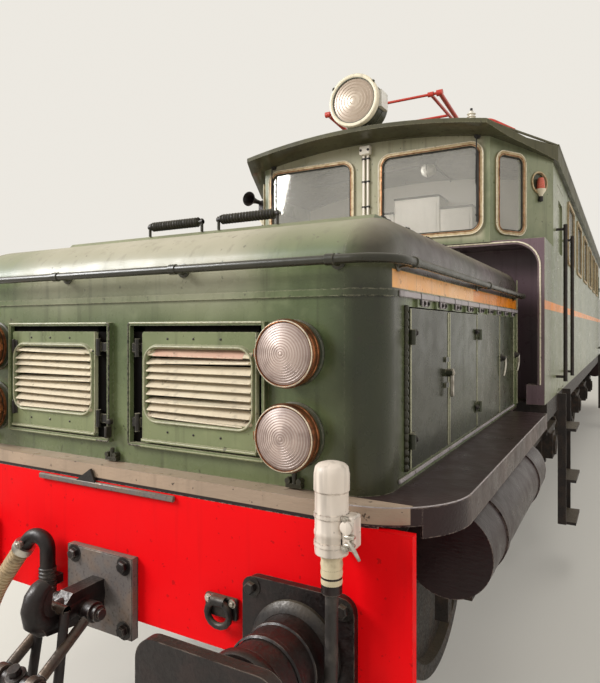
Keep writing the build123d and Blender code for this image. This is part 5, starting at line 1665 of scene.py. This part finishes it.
@dataclass
class JumperHead(Assembly):
    """The ivory jumper head with its steel bands, and the canvas sleeve below it."""

    x: float = 8.7
    y: float = 1.15
    low: float = RAIL + 1.45
    high: float = RAIL + 1.73
    sleeve: float = RAIL + 1.32

    def build(self) -> None:
        """Make the head, its bands and lugs, and the sleeve."""
        f = self.finishes
        work = MeshWork(self.end)
        tall = self.high - self.low
        head = [
            (-0.004, 0.04), (0.0, 0.0552), (0.012, 0.0568), (0.06, 0.0556), (0.064, 0.058), (0.076, 0.058),
            (0.08, 0.0556), (tall - 0.078, 0.0556), (tall - 0.074, 0.0592), (tall - 0.02, 0.0592),
            (tall - 0.014, 0.0575), (tall + 0.001, 0.055), (tall + 0.01, 0.046), (tall + 0.016, 0.028),
            (tall + 0.018, 0.0),
        ]
        work.lathe(head, (self.x, self.y, self.low), UP, 40)
        for z in (0.028, 0.12):
            band = [(z, 0.055), (z, 0.0588), (z + 0.014, 0.0588), (z + 0.014, 0.055)]
            work.lathe(band, (self.x, self.y, self.low), UP, 36)
            lug = (self.x + 0.02, self.y + 0.05, self.low + z)
            work.block(lug, (lug[0] + 0.02, lug[1] + 0.026, lug[2] + 0.014), 0.003, 1)
            work.bolt((lug[0] + 0.02, lug[1] + 0.016, lug[2] + 0.007), AHEAD, 0.012, 1)
        x, y = self.x, self.y + 0.06
        work.block((x - 0.034, y - 0.01, self.low + 0.026), (x + 0.034, y + 0.031, self.low + 0.134), 0.006)
        cap = [(0.0, 0.022), (0.012, 0.022), (0.014, 0.014), (0.014, 0.0)]
        work.lathe(cap, (x + 0.034, y + 0.012, self.low + 0.104), AHEAD, 20)
        for z in (0.044, 0.07):
            work.block((x + 0.03, y + 0.004, self.low + z), (x + 0.05, y + 0.04, self.low + z + 0.012), 0.003, 1)
        hasp = [
            (x + 0.04, y + 0.02, self.low + 0.06), (x + 0.052, y + 0.046, self.low + 0.036),
            (x + 0.05, y + 0.06, self.low + 0.012),
        ]
        work.tube(hasp, [0.008, 0.007, 0.005], 8, 1)
        cuff = [
            (0.0, 0.024), (0.0, 0.03), (0.018, 0.0335), (0.04, 0.0362), (0.052, 0.0345), (0.066, 0.0368),
            (0.08, 0.035), (0.094, 0.0372), (0.108, 0.0352), (0.128, 0.0385), (0.132, 0.03),
        ]
        work.lathe(cuff, (self.x, self.y, self.sleeve), UP, 36, 2)
        work.make(self.named("jumper_head"), [f.ivory, f.steel, f.sleeve], self.bogie, "fittings_metal")


@dataclass
class CabWindows(Assembly):
    """The cab windows' beads, gaskets and wipers, the centre conduits, and the horn."""

    wall: float = 5.65
    corner: float = 1.05
    low: float = RAIL + 2.955
    high: float = RAIL + 3.665
    side_high: float = RAIL + 3.59
    across: float = 0.559
    wide: float = 0.85
    taper_wide: float = 0.3
    taper_at: float = 0.225
    taper_end: Span = (5.03, 1.45)
    spindle: float = RAIL + 3.722
    clamps: Floats = (RAIL + 3.02, RAIL + 3.24, RAIL + 3.46, RAIL + 3.66)
    # Each wiper's Y, and its blade's foot and head.
    wipers: tuple[Point, ...] = ((0.955, RAIL + 3.03, RAIL + 3.61), (-0.95, RAIL + 3.28, RAIL + 3.61))

    def build(self) -> None:
        """Make the beads, wipers, conduits, junction box and horn."""
        f = self.finishes
        beads = MeshWork(self.end)
        for side in Side:
            middle = (self.wall, side.value * self.across, (self.low + self.high) / 2)
            self.bead(beads, facing(middle, ACROSS, UP), self.wide, self.high - self.low, 0.09)
            middle = self.on_taper(self.taper_at, (self.low + self.side_high) / 2, side)
            way = self.taper_way(side)
            right = (way[0] * side.value, way[1] * side.value, 0)
            self.bead(beads, facing(middle, right, UP), self.taper_wide, self.side_high - self.low, 0.07)
        beads.make(self.named("window_beads"), [f.rim, f.gasket, f.copper], "superstructure", "frame_brass")
        work = MeshWork(self.end)
        for y in (-0.02, 0.02):
            work.tube([(5.664, y, RAIL + 2.884), (5.664, y, RAIL + 3.7), (5.668, y, RAIL + 3.77)], 0.011, 12)
            for z in self.clamps:
                work.block((5.65, y - 0.017, z), (5.677, y + 0.017, z + 0.016), 0.003, 1)
        work.block((5.65, -0.05, RAIL + 3.7), (5.7, 0.05, RAIL + 3.778), 0.008)
        for y in (-0.034, 0.034):
            work.bolt((5.7, y, RAIL + 3.738), AHEAD, 0.012, 1)
        for wiper in self.wipers:
            self.wiper(work, *wiper)
        self.horn(work)
        work.make(
            self.named("cab_front_gear"), [f.cream, f.dark, f.gasket, f.black_iron], "superstructure", "fittings_metal"
        )

    def taper_way(self, side: Side) -> Point:
        """The way back along a tapered wall."""
        way = Vector((self.taper_end[0] - self.wall, side.value * (self.taper_end[1] - self.corner), 0)).normalized()
        return (way.x, way.y, 0)

    def on_taper(self, along: float, height: float, side: Side) -> Point:
        """A point on a tapered wall, so far back from its front corner."""
        way = self.taper_way(side)
        return (self.wall + way[0] * along, side.value * self.corner + way[1] * along, height)

    def bead(self, work: MeshWork, basis: Matrix, wide: float, tall: float, radius: float) -> None:
        """Add a window's bright outer bead, its inner bead and the black gasket on the glass.

        Args:
            work: the piece.
            basis: the window's placement on the wall.
            wide: the opening's width.
            tall: the opening's height.
            radius: the opening's corner radius.
        """
        rings = ((0.016, 0.0165, 0.0046, 0), (-0.01, 0.0165, 0.0036, 2), (-0.022, 0.004, 0.006, 1))
        for grow, out, thick, mark in rings:
            outline = rounded(wide + 2 * grow, tall + 2 * grow, radius + grow, 8)
            path = [tuple(basis @ Vector((u, v, out))) for u, v in outline]
            work.tube(path, thick, 8, mark, True)

    def wiper(self, work: MeshWork, y: float, low: float, high: float) -> None:
        """Add a parked wiper: its spindle above the window, its arm and its upright blade.

        Args:
            work: the piece.
            y: where it stands.
            low: the blade's foot.
            high: the blade's head.
        """
        x, middle = self.wall + 0.03, (low + high) / 2
        boss = [(0.0, 0.026), (0.02, 0.026), (0.028, 0.018), (0.04, 0.012), (0.04, 0)]
        work.lathe(boss, (self.wall, y, self.spindle), AHEAD, 20, 1)
        work.tube([(x + 0.008, y, self.spindle), (x + 0.014, y - 0.004, middle + 0.02), (x, y, middle)], 0.0055, 8, 2)
        work.tube([(x, y, high), (x + 0.003, y, middle), (x, y, low)], 0.0075, 8, 2)
        for z in (low + 0.05, high - 0.05):
            work.block((x - 0.004, y - 0.01, z), (x + 0.012, y + 0.01, z + 0.016), 0.002, 1)

    def horn(self, work: MeshWork) -> None:
        """Add the horn: a flared bell on its bracket at the cab's far corner.

        Args:
            work: the piece.
        """
        seat = (5.56, -1.175, RAIL + 3.43)
        bell = [
            (-0.09, 0.0), (-0.09, 0.03), (-0.05, 0.034), (-0.04, 0.018), (0.06, 0.022), (0.13, 0.034),
            (0.17, 0.052), (0.19, 0.07), (0.193, 0.068), (0.17, 0.046), (0.12, 0.026), (0.05, 0.0),
        ]
        work.lathe(bell, seat, AHEAD, 28, 3)
        work.block((5.545, -1.18, RAIL + 3.33), (5.575, -1.09, RAIL + 3.412), 0.004, 3)


@dataclass
class CabInside(Assembly):
    """What shows through the cab windows: wall cabinets, a ceiling lamp and its conduit."""

    bulkhead: float = 4.0755
    cabinet: float = 4.42
    ceiling: float = RAIL + 3.797
    lamp: Span = (4.9, 0.33)
    # Each cabinet's lower and higher Y, and its top.
    cabinets: tuple[Point, ...] = ((-0.64, -0.2, RAIL + 3.42), (-0.19, 0.3, RAIL + 3.56), (0.31, 0.64, RAIL + 3.42))
    foot: float = RAIL + 2.35

    def build(self) -> None:
        """Make the cabinets, the lamp and the conduit."""
        f = self.finishes
        work = MeshWork(self.end)
        back, front, foot = self.bulkhead, self.cabinet, self.foot
        for low, high, top in self.cabinets:
            work.block((back, low, foot), (front, high, top), 0.006)
            work.block((back, low - 0.004, top), (front + 0.012, high + 0.004, top + 0.018), 0.003, 1)
            work.block((front, low + 0.03, foot + 0.07), (front + 0.008, high - 0.03, top - 0.05), 0.003)
            grip = (front + 0.026, high - 0.055, foot + 0.71)
            work.block((front + 0.008, high - 0.07, foot + 0.55), grip, 0.003, 1)
        x, y = self.lamp
        cup = [(0.0, 0.0), (0.0, 0.075), (-0.03, 0.075), (-0.045, 0.05), (-0.045, 0.0)]
        work.lathe(cup, (x, y, self.ceiling), UP, 28, 1)
        globe = [(-0.04, 0.048), (-0.062, 0.066), (-0.095, 0.074), (-0.128, 0.064), (-0.15, 0.036), (-0.157, 0.0)]
        work.lathe(globe, (x, y, self.ceiling), UP, 28, 2)
        for turn in (0.0, pi / 2):
            hoop = []
            for step in range(17):
                angle = pi * step / 16
                out = 0.079 * cos(angle)
                drop = 0.045 + 0.12 * sin(angle)
                hoop.append((x + out * cos(turn), y + out * sin(turn), self.ceiling - drop))
            work.tube(hoop, 0.0035, 8, 1)
        pipe = self.ceiling - 0.012
        work.tube([(back + 0.005, y, pipe), (x - 0.07, y, pipe)], 0.009, 10, 1)
        work.tube([(x, -0.9, self.ceiling - 0.11), (x, y - 0.072, self.ceiling - 0.03)], 0.009, 10, 1)
        work.make(self.named("cab_inside_gear"), [f.cream, f.dark, f.white_porcelain], "superstructure", "cab_cream")


@dataclass
class BodyLamps(Assembly):
    """The roof headlamp's rim, glass and blank plate, the marker lamps, and a roof insulator."""

    front: float = 5.94
    middle: float = RAIL + 4.09
    radius: float = 0.215
    prisms: int = 7
    post: Point = (5.8, 0.94, RAIL + 3.786)
    marker: Span = (0.56, RAIL + 3.4)

    def build(self) -> None:
        """Make the headlamp, the markers and the insulator."""
        f = self.finishes
        seat = (self.front, 0.0, self.middle)
        work = MeshWork(self.end)
        r = self.radius
        rim = [
            (-0.046, r - 0.006), (-0.046, r + 0.004), (-0.036, r + 0.006), (-0.006, r + 0.006), (0.004, r + 0.001),
            (0.007, r - 0.01), (0.004, r - 0.022), (-0.004, r - 0.03), (-0.016, r - 0.034),
        ]
        work.lathe(rim, seat, AHEAD, 64)
        glass = []
        for i in range(self.prisms):
            for share, rise in ((i, 0.0), (i + 0.8, 0.003)):
                radius = (r - 0.033) * (1 - share / self.prisms)
                glass.append((-0.014 + 0.013 * (1 - (radius / r) ** 2) + rise, radius))
        glass.append((0.002, 0.0))
        work.lathe(glass, seat, AHEAD, 56, 1)
        for along in (-0.11, -0.19):
            inner, outer = r - 0.011, r - 0.005
            band = [(along, inner), (along + 0.004, outer), (along + 0.018, outer), (along + 0.022, inner)]
            work.lathe(band, seat, AHEAD, 48, 2)
        x = self.front
        work.block((x - 0.201, r - 0.02, self.middle - 0.071), (x - 0.059, r + 0.0165, self.middle + 0.071), 0.004, 3)
        for angle in (radians(35), radians(145)):
            out, up = cos(angle), sin(angle)
            work.bolt((x - 0.004, (r + 0.004) * out, self.middle + (r + 0.004) * up), (0, out, up), 0.018, 2)
        for y in (-0.075, 0.075):
            work.block((x - 0.255, y - 0.014, RAIL + 3.862), (x - 0.095, y + 0.014, RAIL + 3.935), 0.004, 2)
        work.make(self.named("roof_headlamp"), [f.rim, f.roof_lens, f.lamp, f.plate], "superstructure", "lamp_metal")
        self.markers()
        post = MeshWork(self.end)
        sheds = [(0.0, 0.024), (0.012, 0.024)]
        for index in range(3):
            z = 0.012 + index * 0.022
            sheds += [(z, 0.018), (z + 0.006, 0.034), (z + 0.01, 0.033), (z + 0.016, 0.018)]
        sheds += [(0.086, 0.016), (0.09, 0.0)]
        post.lathe(sheds, self.post, UP, 28)
        post.lathe([(0.088, 0.01), (0.108, 0.01), (0.11, 0)], self.post, UP, 12, 1)
        post.make(self.named("roof_insulator"), [f.white_porcelain, f.dark], "superstructure", "roof_enamel")

    def markers(self) -> None:
        """Make the marker lamp on each tapered wall: its ring, red glass, cup and stem."""
        f = self.finishes
        marks = MeshWork(self.end)
        windows = CabWindows(self.end, f)
        ring = [(0.002, 0.084), (0.002, 0.094), (0.012, 0.094), (0.014, 0.083), (-0.006, 0.078)]
        bulb = [(0.0, 0.03), (0.006, 0.033), (0.07, 0.03), (0.096, 0.022), (0.104, 0.0)]
        cup = [(-0.058, 0.014), (-0.04, 0.02), (-0.014, 0.038), (0.004, 0.04), (0.006, 0.03)]
        socket = [(-0.1, 0.01), (-0.096, 0.018), (-0.058, 0.018), (-0.056, 0.0)]
        for side in Side:
            at = Vector(windows.on_taper(*self.marker, side))
            way = windows.taper_way(side)
            look = Vector((abs(way[1]), side.value * abs(way[0]), 0))
            marks.lathe(ring, tuple(at), tuple(look), 40, 2)
            low = at + look * 0.02 + Vector((0, 0, -0.06))
            marks.lathe(bulb, tuple(low), UP, 28)
            marks.lathe(cup, tuple(low), UP, 28, 1)
            marks.lathe(socket, tuple(low), UP, 20, 3)
            foot = low + Vector((0, 0, -0.085))
            marks.tube([tuple(foot - look * 0.03), tuple(foot)], 0.012, 12, 3)
        marks.make(self.named("marker_lamps"), [f.tail_lens, f.rim, f.brass, f.dark], "superstructure", "lamp_metal")


@dataclass
class ArchAndBody(Assembly):
    """The worn bead round the arch, with its rivets and sill blocks."""

    front: float = 5.63
    foot: float = RAIL + 1.602
    top: float = RAIL + 2.842
    inner: float = 1.4
    corner: float = 0.18
    out: float = 0.018
    rivets: int = 9
    rivet_pitch: float = 0.105

    def build(self) -> None:
        """Make the bead, rivets and sill blocks."""
        f = self.finishes
        work = MeshWork(self.end)
        path: list[Point] = []
        for side in (1, -1):
            arc: list[Point] = [(self.front + 0.002, side * (self.inner + self.out), self.foot + 0.15)]
            for k in range(9):
                angle = pi / 2 * k / 8
                y = self.inner - self.corner + (self.corner + self.out) * cos(angle)
                z = self.top - self.corner + (self.corner + self.out) * sin(angle)
                arc.append((self.front + 0.002, side * y, z))
            path += arc if side > 0 else arc[::-1]
        work.tube(path, 0.0065, 8)
        for side in Side:
            y = side.value * self.inner
            for index in range(self.rivets):
                z = self.foot + 0.2 + index * self.rivet_pitch
                for x in (5.29, 5.58):
                    work.rivet((x, y, z), (0, -side.value, 0), 0.008, 1)
            work.block((5.3, y, self.foot + 0.001), (5.62, y - side.value * 0.085, self.foot + 0.055), 0.006, 2)
        work.make(self.named("arch_bead"), [f.rim, f.body, f.clip], "superstructure", "green_enamel")


@dataclass
class RoofGear(Assembly):
    """The roof's bus bar on ribbed insulators, its hatches and the eaves gutter."""

    crown: float = RAIL + 3.95
    bar: float = RAIL + 4.226
    gutter: float = RAIL + 3.742
    posts: Floats = (0.35, 1.05, 1.75, 2.45)
    # Each hatch's middle and half its length.
    hatches: tuple[Span, ...] = ((0.75, 0.46), (1.75, 0.46), (2.55, 0.3))

    def build(self) -> None:
        """Make this end's half of the roof gear."""
        f = self.finishes
        work = MeshWork(self.end)
        for x in self.posts:
            self.insulator(work, (x, 0.0, self.crown - 0.012), 0.236)
        work.tube([(0.0, 0.0, self.bar), (2.6, 0.0, self.bar), (2.85, 0.0, self.bar - 0.026)], 0.016, 12, 1)
        for x, wide in self.hatches:
            for side in (-1, 1):
                y = side * 0.78
                work.block((x - wide, y - 0.3, self.crown - 0.08), (x + wide, y + 0.3, self.crown - 0.016), 0.014, 2)
                for across in (-0.22, 0.0, 0.22):
                    for along in (-wide + 0.04, wide - 0.04):
                        work.rivet((x + along, y + across, self.crown - 0.017), UP, 0.011, 2)
        for side in (-1, 1):
            work.tube([(0.0, side * 1.486, self.gutter), (5.0, side * 1.486, self.gutter)], 0.012, 8, 2)
            work.tube([(5.02, side * 1.474, self.gutter), (5.885, side * 1.088, self.gutter)], 0.01, 8, 2)
        work.make(self.named("roof_gear"), [f.porcelain, f.bus, f.roof], "superstructure", "roof_enamel")

    def insulator(self, work: MeshWork, foot: Point, tall: float) -> None:
        """Add a ribbed post insulator on its metal foot.

        Args:
            work: the piece.
            foot: where it stands.
            tall: its height.
        """
        work.lathe([(0, 0.07), (0.018, 0.07), (0.028, 0.052), (0.04, 0.05)], foot, UP, 28, 2)
        sheds = [(0.036, 0.034)]
        count = 5
        pitch = (tall - 0.06) / count
        for index in range(count):
            z = 0.04 + index * pitch
            sheds += [(z, 0.034), (z + pitch * 0.3, 0.06), (z + pitch * 0.45, 0.061), (z + pitch * 0.8, 0.036)]
        sheds += [(tall - 0.018, 0.032), (tall, 0.03), (tall, 0.0)]
        work.lathe(sheds, foot, UP, 28)


@dataclass
class PantographTrim(Assembly):
    """The insulators under the pantograph's base, and the raising springs on their rods."""

    middle: float = 3.6
    floor: float = RAIL + 3.93
    base: float = RAIL + 4.098
    half: float = 0.56

    def build(self) -> None:
        """Make the insulators, springs and rods."""
        f = self.finishes
        work = MeshWork(self.end)
        for x in (-self.half, self.half):
            for y in (-0.52, 0.52):
                spot = (self.middle + x, y, self.floor - 0.02)
                sheds = [(0.0, 0.062), (0.014, 0.062), (0.022, 0.04)]
                for index in range(4):
                    z = 0.026 + index * 0.034
                    sheds += [(z, 0.038), (z + 0.01, 0.064), (z + 0.016, 0.064), (z + 0.028, 0.04)]
                sheds += [(0.18, 0.036)]
                work.lathe(sheds, spot, UP, 28)
        x, z = self.middle, self.base + 0.035
        for y in (-0.2, 0.2):
            work.tube(helix((x - 0.42, y, z), (x - 0.05, y, z), 0.024, 18, 12), 0.005, 6, 1)
            work.tube([(x - 0.44, y, z), (x, y, z)], 0.008, 8, 1)
        work.make(self.named("pantograph_insulators"), [f.porcelain, f.dark], "superstructure", "panto_base")


@dataclass
class BogieTrim(Assembly):
    """A bogie's axlebox covers, the rivets along its frame and its front sand pipes."""

    axles: Floats = (6.7, 4.5, 2.3)
    rivets: Floats = (7.62, 5.6, 3.4)
    circle: float = 0.105
    out: float = 1.185
    height: float = RAIL + 0.7

    def build(self) -> None:
        """Make both sides' trim."""
        f = self.finishes
        work = MeshWork(self.end)
        cover = [(-0.004, 0.125), (0.012, 0.125), (0.02, 0.112), (0.03, 0.06), (0.036, 0.052), (0.036, 0)]
        for side in Side:
            look = (0, side.value, 0)
            for x in self.axles:
                seat = (x, side.value * self.out, self.height)
                work.lathe(cover, seat, look, 36)
                for index in range(6):
                    angle = pi * index / 3
                    across, up = self.circle * cos(angle), self.circle * sin(angle)
                    work.bolt((x + across, side.value * (self.out + 0.012), self.height + up), look, 0.024, 1)
            for x in self.rivets:
                for z in (0.9, 1.08):
                    for across in (-0.09, 0.0, 0.09):
                        work.rivet((x + across, side.value * 1.065, RAIL + z), look, 0.014)
            pipe = ((7.5, 1.0, RAIL + 0.78), (7.48, 0.93, RAIL + 0.5), (7.4, 0.87, RAIL + 0.16))
            work.tube([(x, side.value * y, z) for x, y, z in pipe], 0.021, 10, 1)
        work.make(self.named("bogie_trim"), [f.bogie, f.dark], self.bogie, "bogie_iron")


@dataclass(frozen=True)
class Lamp:
    """A square area light, which glass and paint may mirror."""

    name: str
    at: Point
    aim: Point
    size: float
    power: float
    spread: float = 180.0
    mirrored: bool = False

    def hang(self) -> None:
        """Add the light where it hangs, looking at its aim."""
        data = bpy.data.lights.new(self.name, "AREA")
        data.energy = self.power
        data.size = self.size
        data.spread = radians(self.spread)
        light = bpy.data.objects.new(self.name, data)
        light.visible_glossy = self.mirrored
        light.visible_camera = False
        light.location = self.at
        light.rotation_euler = (Vector(self.aim) - Vector(self.at)).to_track_quat("-Z", "Y").to_euler()
        bpy.context.scene.collection.objects.link(light)


# One small lamp in each cab, and the lamps round the locomotive.
LAMPS = (
    Lamp("cab a", (5.1, 0.0, RAIL + 3.7), (4.6, 0.0, RAIL + 2.6), 0.5, 5),
    Lamp("cab b", (-5.1, 0.0, RAIL + 3.7), (-4.6, 0.0, RAIL + 2.6), 0.5, 5),
    Lamp("key", (14.0, -8.0, 8.0), (8.0, 0.0, 2.0), 5.0, 900, 130, True),
    Lamp("fill", (16.0, 9.0, 8.0), (7.0, 0.5, 2.0), 6.0, 400),
    Lamp("side", (4.0, 13.0, 7.0), (4.0, 1.4, 2.0), 6.0, 450),
    Lamp("back", (-14.0, -9.0, 9.0), (-6.0, 0.0, 2.0), 7.0, 700),
    Lamp("top", (0.0, 0.0, 14.0), (0.0, 0.0, 3.0), 10.0, 700),
)


@dataclass
class Studio:
    """A pale floor, a pale surround and soft lights."""

    floor_size: float = 600.0
    floor_colour: str = "c3bfb6"
    floor_glow: float = 0.14
    surround: str = "f2eee6"
    seen_strength: float = 0.95
    lighting_strength: float = 0.5
    near: Point = (12.0, 5.0, 1.0)
    far: float = 3.4

    def make(self) -> None:
        """Create the floor, the world and the lights."""
        scene = bpy.context.scene
        scene.view_settings.view_transform = "Standard"
        work = bmesh.new()
        bmesh.ops.create_grid(work, x_segments=1, y_segments=1, size=self.floor_size / 2)
        mesh = bpy.data.meshes.new("floor")
        work.to_mesh(mesh)
        work.free()
        floor = bpy.data.objects.new("floor", mesh)
        scene.collection.objects.link(floor)
        shade = Shade("floor pale paint")
        # The paint is plain near the object, where it keeps the shadow, and turns by degrees
        # into the pale surround, so that no horizon shows.
        spread = shade.put("ShaderNodeVectorMath", {0: shade.place, 1: self.near}, operation="DIVIDE")
        away = shade.put("ShaderNodeVectorMath", {0: spread}, out="Value", operation="LENGTH")
        share = shade.put(RANGE, {0: away, 1: 1.0, 2: self.far})
        tone = shade.coat(linear(self.floor_colour), linear("000000"), share, (0.0, 1.0))
        share = shade.put(RANGE, {0: share, 3: self.floor_glow, 4: 1.0})
        glow = shade.put(MATH, {0: share, 1: self.seen(shade)}, operation="MULTIPLY")
        mesh.materials.append(
            shade.close(
                Base_Color=tone, Roughness=0.9, Specular_IOR_Level=0.0, Emission_Color=linear(self.surround),
                Emission_Strength=glow,
            )
        )
        world = bpy.data.worlds.new("studio")
        scene.world = world
        world.use_nodes = True
        sky = Nodes(world.node_tree)
        glow = sky.put("ShaderNodeBackground", {"Color": linear(self.surround), "Strength": self.seen(sky)})
        sky.put("ShaderNodeOutputWorld", {"Surface": glow})
        for lamp in LAMPS:
            lamp.hang()

    def seen(self, nodes: Nodes) -> Socket:
        """How strongly the pale surround glows.

        Args:
            nodes: the node tree that asks.

        Returns:
            Its strength: pale to the eye, in mirrors and through glass, and dimmer as a light.
        """
        looked_at = nodes.put("ShaderNodeLightPath", out="Is Camera Ray")
        for kind in ("Is Glossy Ray", "Is Transmission Ray"):
            other = nodes.put("ShaderNodeLightPath", out=kind)
            looked_at = nodes.put(MATH, {0: looked_at, 1: other}, operation="MAXIMUM")
        return nodes.put(RANGE, {0: looked_at, 3: self.lighting_strength, 4: self.seen_strength})


def main() -> None:
    """Build the whole scene round the frame."""
    logging.basicConfig(level=logging.INFO, format="%(name)s: %(message)s")
    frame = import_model()
    Camera().make()
    finishes = Finishes()
    for end in End:
        HosesAndLeads(end, finishes).build()
    CadDress(frame["nodes"], finishes).dress()
    kinds = (
        HoodLamps, LouvrePanels, HoodTop, BeamAndBuffers, WalkwayCorner, ScrewCoupling, JumperHead,
        CabWindows, CabInside, BodyLamps, ArchAndBody, RoofGear, PantographTrim, BogieTrim,
    )
    for end in End:
        for side in Side:
            HoodSide(end, finishes, side).build()
        for kind in kinds:
            kind(end, finishes).build()
    Studio().make()


if __name__ == "__main__":
    main()
